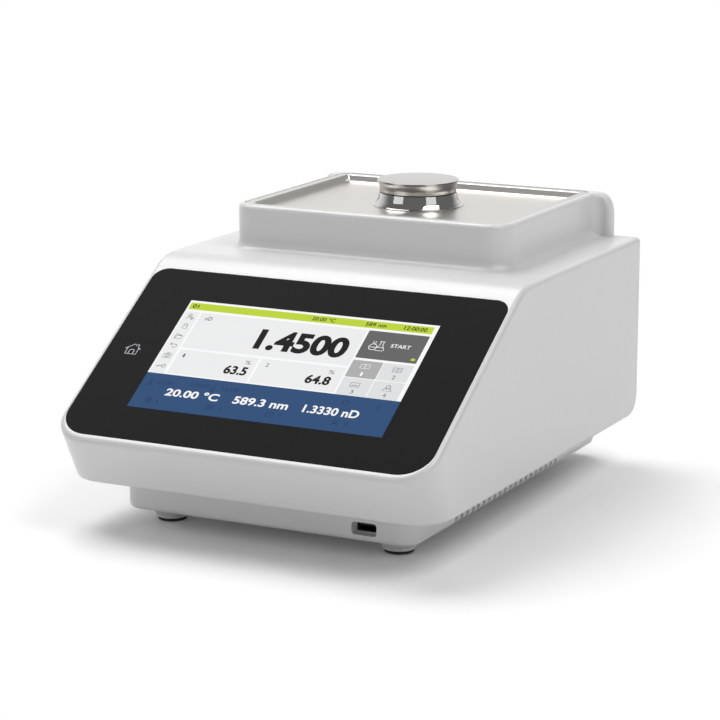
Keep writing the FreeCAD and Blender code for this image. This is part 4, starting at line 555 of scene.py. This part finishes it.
def flask(x, y, size):
    """A conical flask's outline with its lip and level."""
    body = [(-0.25, 1.0), (-0.25, 0.25), (-0.8, -0.75), (-0.6, -1.0),
            (0.6, -1.0), (0.8, -0.75), (0.25, 0.25), (0.25, 1.0)]
    lip = [(-0.45, 1.0), (0.45, 1.0)]
    level = [(-0.55, -0.3), (0.55, -0.3)]
    return [(shifted(line, x, y, size), OPEN) for line in (body, lip, level)]


def round_flask(x, y, size):
    """A round flask's outline with its neck and level."""
    body = shifted(circle(0, -0.35, 0.75), x, y, size)
    near_neck = [(-0.22, 1.1), (-0.22, 0.35)]
    far_neck = [(0.22, 1.1), (0.22, 0.35)]
    level = [(-0.7, -0.4), (0.7, -0.4)]
    lines = [(shifted(line, x, y, size), OPEN) for line in (near_neck, far_neck, level)]
    return [(body, CLOSED)] + lines


def side_icons():
    """Six small line icons down the left edge."""
    x = -70.8
    user = [(circle(x - 0.6, 95.2, 0.9), CLOSED),
            ([(x - 2.2, 92.3), (x - 1.6, 93.8), (x + 0.4, 93.8), (x + 0.9, 92.6)], OPEN),
            (circle(x + 1.3, 92.9, 0.8), CLOSED)]
    lock = [(corners_of(x - 1.4, x + 1.4, 84.9, 87.2), CLOSED),
            ([(x - 0.8, 87.2), (x - 0.8, 88.5), (x + 0.8, 88.5), (x + 0.8, 87.2)], OPEN)]
    folder = [([(x - 2.2, 76.6), (x + 1.6, 76.6), (x + 2.4, 79.0), (x - 1.2, 79.0)], CLOSED),
              ([(x - 2.2, 76.6), (x - 2.2, 80.2), (x - 0.6, 80.2), (x, 79.4), (x + 1.6, 79.4)], OPEN)]
    back = [([(x - 1.0, 73.2), (x - 2.2, 72.2), (x - 1.0, 71.2)], OPEN),
            ([(x - 2.2, 72.2), (x + 1.4, 72.2), (x + 2.2, 71.2), (x + 1.4, 69.9), (x - 0.4, 69.9)],
             OPEN)]
    camera = [(corners_of(x - 2.2, x + 2.2, 61.6, 64.6), CLOSED),
              (circle(x, 63.1, 0.9), CLOSED),
              ([(x - 0.9, 64.6), (x - 0.6, 65.4), (x + 0.6, 65.4), (x + 0.9, 64.6)], OPEN)]
    key = [(circle(x + 1.5, 55.4, 1.1), CLOSED),
           ([(x + 0.4, 55.4), (x - 2.4, 55.4), (x - 2.4, 54.2)], OPEN),
           ([(x - 1.3, 55.4), (x - 1.3, 54.5)], OPEN)]
    return user + lock + folder + back + camera + key


def tile_icons():
    """Icons of the light keys: a page in two columns, a plain page and a weight."""
    page = corners_of(-2.6, 2.6, -1.5, 1.5)
    columns = [(shifted(page, 65.6, 71.4, 1), CLOSED), ([(65.6, 69.9), (65.6, 72.9)], OPEN),
               ([(63.6, 71.4), (64.8, 71.4)], OPEN), ([(66.4, 71.4), (67.6, 71.4)], OPEN)]
    plain = [(shifted(page, 46.5, 57.6, 1), CLOSED), ([(44.7, 57.2), (48.3, 57.2)], OPEN)]
    weight = [([(63.0, 55.8), (68.2, 55.8), (67.4, 57.4), (63.8, 57.4)], CLOSED),
              (circle(65.6, 58.6, 1.2), CLOSED)]
    return columns + plain + weight


def key_icons():
    """Icons of the dark keys: two flasks, and a page in two columns."""
    page = [(corners_of(44.0, 49.2, 70.0, 73.0), CLOSED), ([(46.6, 70.0), (46.6, 73.0)], OPEN)]
    return flask(49.2, 87.3, 3.4) + round_flask(44.8, 87.3, 3.0) + page


def band_icons():
    """Faint icons in the blue band."""
    lines = []
    for x, y in ((-71.2, 43.2), (-32.6, 43.4)):
        lines.append(([(x - 0.5, y - 1.6), (x - 0.5, y + 2.0), (x + 0.5, y + 2.0), (x + 0.5, y - 1.6)],
                      OPEN))
        lines.append((circle(x, y - 2.0, 0.9), CLOSED))
    lines += [(circle(-66.0, 29.6, radius), CLOSED) for radius in (1.8, 0.7)]
    lines += [([(-30.4, y), (-25.8, y)], OPEN) for y in (28.2, 29.6, 31.0)]
    lines.append((corners_of(5.6, 10.2, 28.0, 31.2), CLOSED))
    lines.append(([(6.8, 29.0), (7.8, 30.2), (9.0, 29.2)], OPEN))
    lines.append((circle(46.6, 30.2, 1.0), CLOSED))
    lines.append(([(44.6, 27.6), (45.2, 28.8), (48.0, 28.8), (48.6, 27.6)], OPEN))
    lines.append((circle(46.3, 44.4, 1.6), CLOSED))
    lines.append(([(66.0, 46.0), (64.9, 43.6), (66.0, 42.2), (67.1, 43.6)], CLOSED))
    return lines


def make_display():
    """The lit display: title bar, result fields, keys and status band, drawn on the glass."""
    drawings = {name: [] for name in PALETTE}
    for look, *values in TILES:
        drawings[look].append(tile(*values))
    for look, *values in WORDS:
        drawings[look].append(writing(*values))
    for look, icons, layer in (("screen_ink", side_icons() + tile_icons(), LAYER_MARK),
                               ("screen_white", key_icons(), LAYER_MARK),
                               ("screen_shade", band_icons(), LAYER_TILE)):
        drawings[look] += [stroke(line, layer, closed) for line, closed in icons]
    for name, meshes in drawings.items():
        mesh = on_face(joined(name, meshes))
        link("display_" + name.split("_")[1], mesh, PALETTE[name], "instrument")


def make_home_icon():
    """The touch key's mark: a small house drawn in white lines under the glass."""
    x, y, size = -93.7, 65.2, 0.95
    roof = [(-5.0, 0.1), (-0.1, 4.1), (1.6, 2.7), (1.6, 3.7), (2.9, 3.7), (2.9, 1.7), (5.0, 0.1)]
    walls = [(-3.6, 1.0), (-3.6, -4.0), (3.6, -4.0), (3.6, 1.0)]
    door = [(-1.5, -4.0), (-1.5, -1.2), (-0.9, -0.4), (0.9, -0.4), (1.5, -1.2), (1.5, -4.0)]
    meshes = [stroke(shifted(line, x, y, size), LAYER_BACK, OPEN) for line in (roof, walls, door)]
    mesh = on_face(joined("home_icon", meshes))
    link("home_icon", mesh, lit("icon_white", (0.55, 0.56, 0.57)), "instrument")


# Steel parts with their fine edges

PLATE_LOW, PLATE_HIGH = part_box("sample_plate")
SHEET = 1.0 * MM
PLATE_FLOOR = PLATE_LOW.z + SHEET
FRONT_CORNER = 10.4 * MM
REAR_CORNER = 8.0 * MM
SMALLEST_CORNER = 0.4 * MM
FLANGE = 5.3 * MM
SLOPE = 2.2 * MM
TRAY_HOLE = 14.2 * MM

# The joint of cover and ring: its outer edge, the groove for the dark rubber line that paints the joint's
# shade, the mouth and the spigot in it
JOINT_RADIUS = 22.4 * MM
GROOVE_RADIUS = 21.9 * MM
GROOVE_HALF = 0.3 * MM
MOUTH_RADIUS = 20.5 * MM
SPIGOT_RADIUS = 19.6 * MM
SPIGOT_DEPTH = 1.4 * MM

# The ring's foot in the tray's hole, the prism's seat and the step below it
FOOT_RADIUS = 14.0 * MM
SEAT_RADIUS = 8.8 * MM
STEP_RADIUS = 7.6 * MM
STEP_DEPTH = 1.5 * MM

# A solid round piece is turned from this close to its axis, so that all its faces keep four corners
AXIS_GAP = 0.01 * MM
ROUND_SEGMENTS = 192
WALL_STEPS = 10


def plate_loop(inset, level):
    """One loop of the tray's plan outline, moved in by inset: the front corners are the rounder ones."""
    wide = max(FRONT_CORNER - inset, SMALLEST_CORNER)
    tight = max(REAR_CORNER - inset, SMALLEST_CORNER)
    left, right = PLATE_LOW.x + inset, PLATE_HIGH.x - inset
    front, rear = PLATE_LOW.y + inset, PLATE_HIGH.y - inset
    corners = [(left, front, wide), (right, front, wide), (right, rear, tight), (left, rear, tight)]
    return [(point.x, point.y, level) for point in rounded(corners, steps=14)]


def make_tray():
    """The pressed tray: rolled edge, flange, bend, sloping wall, bend, floor and the hole for the ring."""
    top = PLATE_HIGH.z
    inner = FLANGE + 6 * SLOPE
    section = rounded([
        (0.0, top - SHEET), (0.0, top, 0.35 * MM), (FLANGE, top, 1.1 * MM),
        (FLANGE + SLOPE, PLATE_FLOOR, 1.3 * MM), (inner, PLATE_FLOOR)], steps=5)
    under = rounded([
        (inner, PLATE_FLOOR - SHEET), (FLANGE + SLOPE - SHEET / 2, PLATE_FLOOR - SHEET, 0.8 * MM),
        (FLANGE - SHEET / 2, top - SHEET, 0.4 * MM), (0.0, top - SHEET)], steps=4)
    loops = [plate_loop(point.x, point.y) for point in section]
    angles = [math.atan2(y - AXIS[1], x - AXIS[0]) for x, y, level in loops[-1]]
    for level in (PLATE_FLOOR, PLATE_FLOOR - SHEET):
        loops.append([(AXIS[0] + TRAY_HOLE * math.cos(angle), AXIS[1] + TRAY_HOLE * math.sin(angle), level)
                      for angle in angles])
    loops += [plate_loop(point.x, point.y) for point in under[:-1]]
    vertices = [point for loop in loops for point in loop]
    mesh = mesh_from("sample_tray", vertices, grid_faces(len(loops), len(loops[0])))
    sharpen(mesh, 40)
    tray = link("sample_tray", mesh, MATERIALS["tray_steel"], "instrument")
    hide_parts("sample_plate")


def make_ring():
    """The polished ring: thin rim, flared wall, groove at the joint and the dish down to the prism."""
    low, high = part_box("prism_ring")
    rim = high.x
    step = PRISM_HIGH.z - STEP_DEPTH
    outline = [
        # Rim on the tray's floor
        (rim, PLATE_FLOOR, 0.12 * MM), (rim, PLATE_FLOOR + 0.5 * MM, 0.15 * MM),
        # Wall, wide at its foot and nearly upright above, with half of the groove at its top
        (25.3 * MM, PLATE_FLOOR + 0.6 * MM, 0.5 * MM), (23.6 * MM, PLATE_FLOOR + 3.2 * MM, 6.0 * MM),
        (JOINT_RADIUS, high.z - 0.35 * MM, 0.05 * MM), (GROOVE_RADIUS, high.z - GROOVE_HALF),
        (GROOVE_RADIUS, high.z),
        # Mouth, and the dish down to the prism
        (MOUTH_RADIUS, high.z, 0.4 * MM), (MOUTH_RADIUS, high.z - 2.0 * MM, 0.5 * MM),
        (9.3 * MM, PRISM_HIGH.z, 0.3 * MM),
        # The prism's seat, and the foot in the tray's hole
        (SEAT_RADIUS, PRISM_HIGH.z), (SEAT_RADIUS, step), (STEP_RADIUS, step), (STEP_RADIUS, low.z),
        (FOOT_RADIUS, low.z), (FOOT_RADIUS, PLATE_FLOOR)]
    mesh = lathe("polished_ring", outline, AXIS, ROUND_SEGMENTS, WALL_STEPS)
    sharpen(mesh, 35)
    ring = link("polished_ring", mesh, MATERIALS["ring_steel"], "instrument")
    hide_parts("prism_ring")


def make_cover():
    """The turned cover: bevelled flat top, rim that narrows to a nearly straight waist, and the spigot."""
    low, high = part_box("sample_cover")
    rim = high.x
    seat = low.z + SPIGOT_DEPTH
    outline = [
        # Spigot, with half of the groove above it
        (AXIS_GAP, low.z), (SPIGOT_RADIUS, low.z, 0.2 * MM), (SPIGOT_RADIUS, seat),
        (GROOVE_RADIUS, seat), (GROOVE_RADIUS, seat + GROOVE_HALF),
        # Waist and rim, with the bevel of the flat top
        (JOINT_RADIUS, seat + 0.35 * MM, 0.05 * MM), (22.3 * MM, seat + 3.6 * MM, 6.0 * MM),
        (rim, high.z - 1.0 * MM, 0.2 * MM), (rim - 0.35 * MM, high.z, 0.08 * MM), (AXIS_GAP, high.z)]
    mesh = lathe("turned_cover", outline, AXIS, ROUND_SEGMENTS, WALL_STEPS)
    sharpen(mesh, 30)
    cover = link("turned_cover", mesh, MATERIALS["cover_steel"], "cover")
    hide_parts("sample_cover")


def make_joint_shade_line():
    """A dark rubber line between the cover and the ring: painted shade and painted dark reflection of the
    joint's gap; it lifts with the cover.
    """
    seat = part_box("sample_cover")[0].z + SPIGOT_DEPTH
    inner, outer, rounding = 21.92 * MM, 22.25 * MM, 0.1 * MM
    below, above = seat - 0.25 * MM, seat + 0.25 * MM
    outline = [(inner, below), (outer, below, rounding), (outer, above, rounding), (inner, above)]
    mesh = lathe("joint_shade_line", outline, AXIS, ROUND_SEGMENTS, 4)
    sharpen(mesh, 40)
    link("joint_shade_line", mesh, MATERIALS["seal_black"], "cover")


def make_foot_pads():
    """Rubber pads with a rounded edge and a shallow hollow below."""
    points = [vertex.co for vertex in NODES["foot_pads"].data.vertices]
    low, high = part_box("foot_pads")
    middle = (low.y + high.y) / 2
    radius, hollow = 8.0 * MM, 0.4 * MM
    outline = [(AXIS_GAP, hollow), (4.6 * MM, hollow), (5.2 * MM, 0.0, 0.3 * MM),
               (radius, 0.0, 0.6 * MM), (radius, high.z), (AXIS_GAP, high.z)]
    meshes = []
    for side in (-1, 1):
        for end in (-1, 1):
            pad = [p for p in points if p.x * side > 0 and (p.y - middle) * end > 0]
            centre = [(min(p[i] for p in pad) + max(p[i] for p in pad)) / 2 for i in (0, 1)]
            meshes.append(lathe("pad", outline, centre, 64, 4))
    mesh = joined("rubber_pads", meshes)
    sharpen(mesh, 35)
    pads = link("rubber_pads", mesh, MATERIALS["foot_rubber"], "instrument")
    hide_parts("foot_pads")


# Studio

# The photograph's camera: solved from the object's straight edges, in millimetres and degrees
CAMERA_MM = (667.9, -1317.5, 410.75)
CAMERA_YAW = 26.85
CAMERA_PITCH = 12.68
IMAGE_SIDE = 720
FOCAL_PIXELS = 2683
SENSOR_MM = 36.0

# Brightness of the room in front of the object, for soft light and as metal and glass mirror it
ROOM_GREY = 0.22
ROOM_MIRRORED = 0.18
# The white wall's middle is this many degrees further round than the camera looks; it fades at its sides by
# the cosine of the angle from its middle, and at its top by the sine of the height
WALL_TURN = 10
WALL_SIDES = (0.2, 0.95)
WALL_TOP = (0.35, 0.65)

# The table: half its side and how far it lies under the feet, in metres
TABLE_REACH = 30
TABLE_DROP = 0.0002
# Its colour where it is seen, the grey with which it lights the object, and its own faint glow where seen
TABLE_DARKEST = (0.94, 0.94, 0.945)
TABLE_LIGHTEST = (0.96, 0.96, 0.962)
FLOOR_BOUNCE = 0.85
FLOOR_LIFT = 0.04
# From the first to the second distance from the object's middle it turns into plain white
WHITE_RANGE = (0.22, 0.8)

# Name, place, aim, width, height and watts of each lamp
LAMPS = (
    ("overhead", (-1.00, 0.50, 2.2), (0, 0, 0.1), 2.0, 1.4, 38),
    ("right_top", (1.10, -0.20, 1.9), (0, 0, 0.1), 1.2, 1.2, 17),
    ("left_box", (-1.15, -1.55, 0.75), (0, 0.05, 0.16), 1.1, 0.9, 2.8),
    ("right_box", (1.50, -0.60, 0.8), (0, 0.05, 0.16), 0.9, 0.8, 2.0),
)


def make_camera():
    """The photograph's camera."""
    camera = bpy.data.cameras.new("camera")
    camera.sensor_width = SENSOR_MM
    camera.lens = FOCAL_PIXELS / IMAGE_SIDE * SENSOR_MM
    camera.clip_end = 100
    holder = bpy.data.objects.new("camera", camera)
    holder.location = Vector(CAMERA_MM) * MM
    holder.rotation_euler = (math.radians(90 - CAMERA_PITCH), 0, math.radians(CAMERA_YAW))
    bpy.context.scene.collection.objects.link(holder)
    bpy.context.scene.camera = holder


def area_light(name, place, aim, width, height, power):
    """A rectangular lamp that points at a place."""
    light = bpy.data.lights.new(name, "AREA")
    light.shape = "RECTANGLE"
    light.size = width
    light.size_y = height
    light.energy = power
    holder = bpy.data.objects.new(name, light)
    holder.location = place
    direction = Vector(aim) - Vector(place)
    holder.rotation_euler = direction.to_track_quat("-Z", "Y").to_euler()
    bpy.context.scene.collection.objects.link(holder)


def seen_by(nodes, links, *kinds):
    """1 for the rays of these kinds and 0 for the others."""
    path = nodes.new("ShaderNodeLightPath")
    total = path.outputs[kinds[0]]
    for kind in kinds[1:]:
        either = nodes.new("ShaderNodeMath")
        either.operation = "MAXIMUM"
        links.new(total, either.inputs[0])
        links.new(path.outputs[kind], either.inputs[1])
        total = either.outputs[0]
    return total


def smooth_range(nodes, links, value, start, end, low=0.0, high=1.0):
    """A value that passes smoothly from low to high between start and end."""
    spread = nodes.new("ShaderNodeMapRange")
    spread.interpolation_type = "SMOOTHSTEP"
    spread.inputs["From Min"].default_value = start
    spread.inputs["From Max"].default_value = end
    spread.inputs["To Min"].default_value = low
    spread.inputs["To Max"].default_value = high
    links.new(value, spread.inputs["Value"])
    return spread.outputs["Result"]


def product(nodes, links, first, second):
    """A socket times a number or another socket."""
    times = nodes.new("ShaderNodeMath")
    times.operation = "MULTIPLY"
    links.new(first, times.inputs[0])
    if isinstance(second, float):
        times.inputs[1].default_value = second
    else:
        links.new(second, times.inputs[1])
    return times.outputs[0]


def make_world():
    """A studio: a white wall behind the object, a dimmer room in front of it, and a white background."""
    world = bpy.data.worlds.new("studio")
    world.use_nodes = True
    bpy.context.scene.world = world
    nodes, links = world.node_tree.nodes, world.node_tree.links
    place = nodes.new("ShaderNodeTexCoord")
    split = nodes.new("ShaderNodeSeparateXYZ")
    links.new(place.outputs["Generated"], split.inputs[0])
    toward = nodes.new("ShaderNodeVectorMath")
    toward.operation = "DOT_PRODUCT"
    turn = math.radians(CAMERA_YAW + WALL_TURN)
    toward.inputs[1].default_value = (-math.sin(turn), math.cos(turn), 0)
    links.new(place.outputs["Generated"], toward.inputs[0])
    sides = smooth_range(nodes, links, toward.outputs["Value"], *WALL_SIDES)
    top = smooth_range(nodes, links, split.outputs["Z"], *WALL_TOP, low=1.0, high=0.0)
    room = blend(nodes, links, seen_by(nodes, links, "Is Glossy Ray"), ROOM_GREY, ROOM_MIRRORED)
    studio = blend(nodes, links, product(nodes, links, sides, top), room, 1.0)
    backdrop = seen_by(nodes, links, "Is Camera Ray", "Is Transmission Ray")
    links.new(blend(nodes, links, backdrop, studio, 1.0), nodes["Background"].inputs["Color"])
    nodes["Background"].inputs["Strength"].default_value = 1.0


def make_floor():
    """A large white table that takes the object's soft shadow and is plain white further off."""
    corners = corners_of(-TABLE_REACH, TABLE_REACH, -TABLE_REACH, TABLE_REACH)
    vertices = [(x, y, -TABLE_DROP) for x, y in corners]
    mesh = bpy.data.meshes.new("floor")
    mesh.from_pydata(vertices, [], [(0, 1, 2, 3)])
    material, nodes, links, shader = new_material("floor_white")
    grain = add_noise(nodes, links, scale=12, detail=2)
    pale = blend(nodes, links, grain.outputs["Fac"], TABLE_DARKEST, TABLE_LIGHTEST)
    seen = seen_by(nodes, links, "Is Camera Ray", "Is Glossy Ray", "Is Transmission Ray")
    links.new(blend(nodes, links, seen, FLOOR_BOUNCE, pale), shader.inputs["Base Color"])
    shader.inputs["Roughness"].default_value = 0.85
    shader.inputs["Specular IOR Level"].default_value = 0.15
    shader.inputs["Emission Color"].default_value = (1, 1, 1, 1)
    links.new(product(nodes, links, seen, FLOOR_LIFT), shader.inputs["Emission Strength"])
    place = nodes.new("ShaderNodeTexCoord")
    distance = nodes.new("ShaderNodeVectorMath")
    distance.operation = "LENGTH"
    links.new(place.outputs["Object"], distance.inputs[0])
    far = smooth_range(nodes, links, distance.outputs["Value"], *WHITE_RANGE)
    white = nodes.new("ShaderNodeEmission")
    mix = nodes.new("ShaderNodeMixShader")
    links.new(product(nodes, links, far, seen), mix.inputs[0])
    links.new(shader.outputs[0], mix.inputs[1])
    links.new(white.outputs[0], mix.inputs[2])
    links.new(mix.outputs[0], nodes["Material Output"].inputs["Surface"])
    mesh.materials.append(material)
    floor = bpy.data.objects.new("floor", mesh)
    bpy.context.scene.collection.objects.link(floor)


finish_nodes()
make_display()
make_home_icon()
make_tray()
make_ring()
make_cover()
make_joint_shade_line()
make_foot_pads()
make_camera()
make_world()
make_floor()
for lamp in LAMPS:
    area_light(*lamp)

bpy.context.scene.view_settings.view_transform = "Standard"
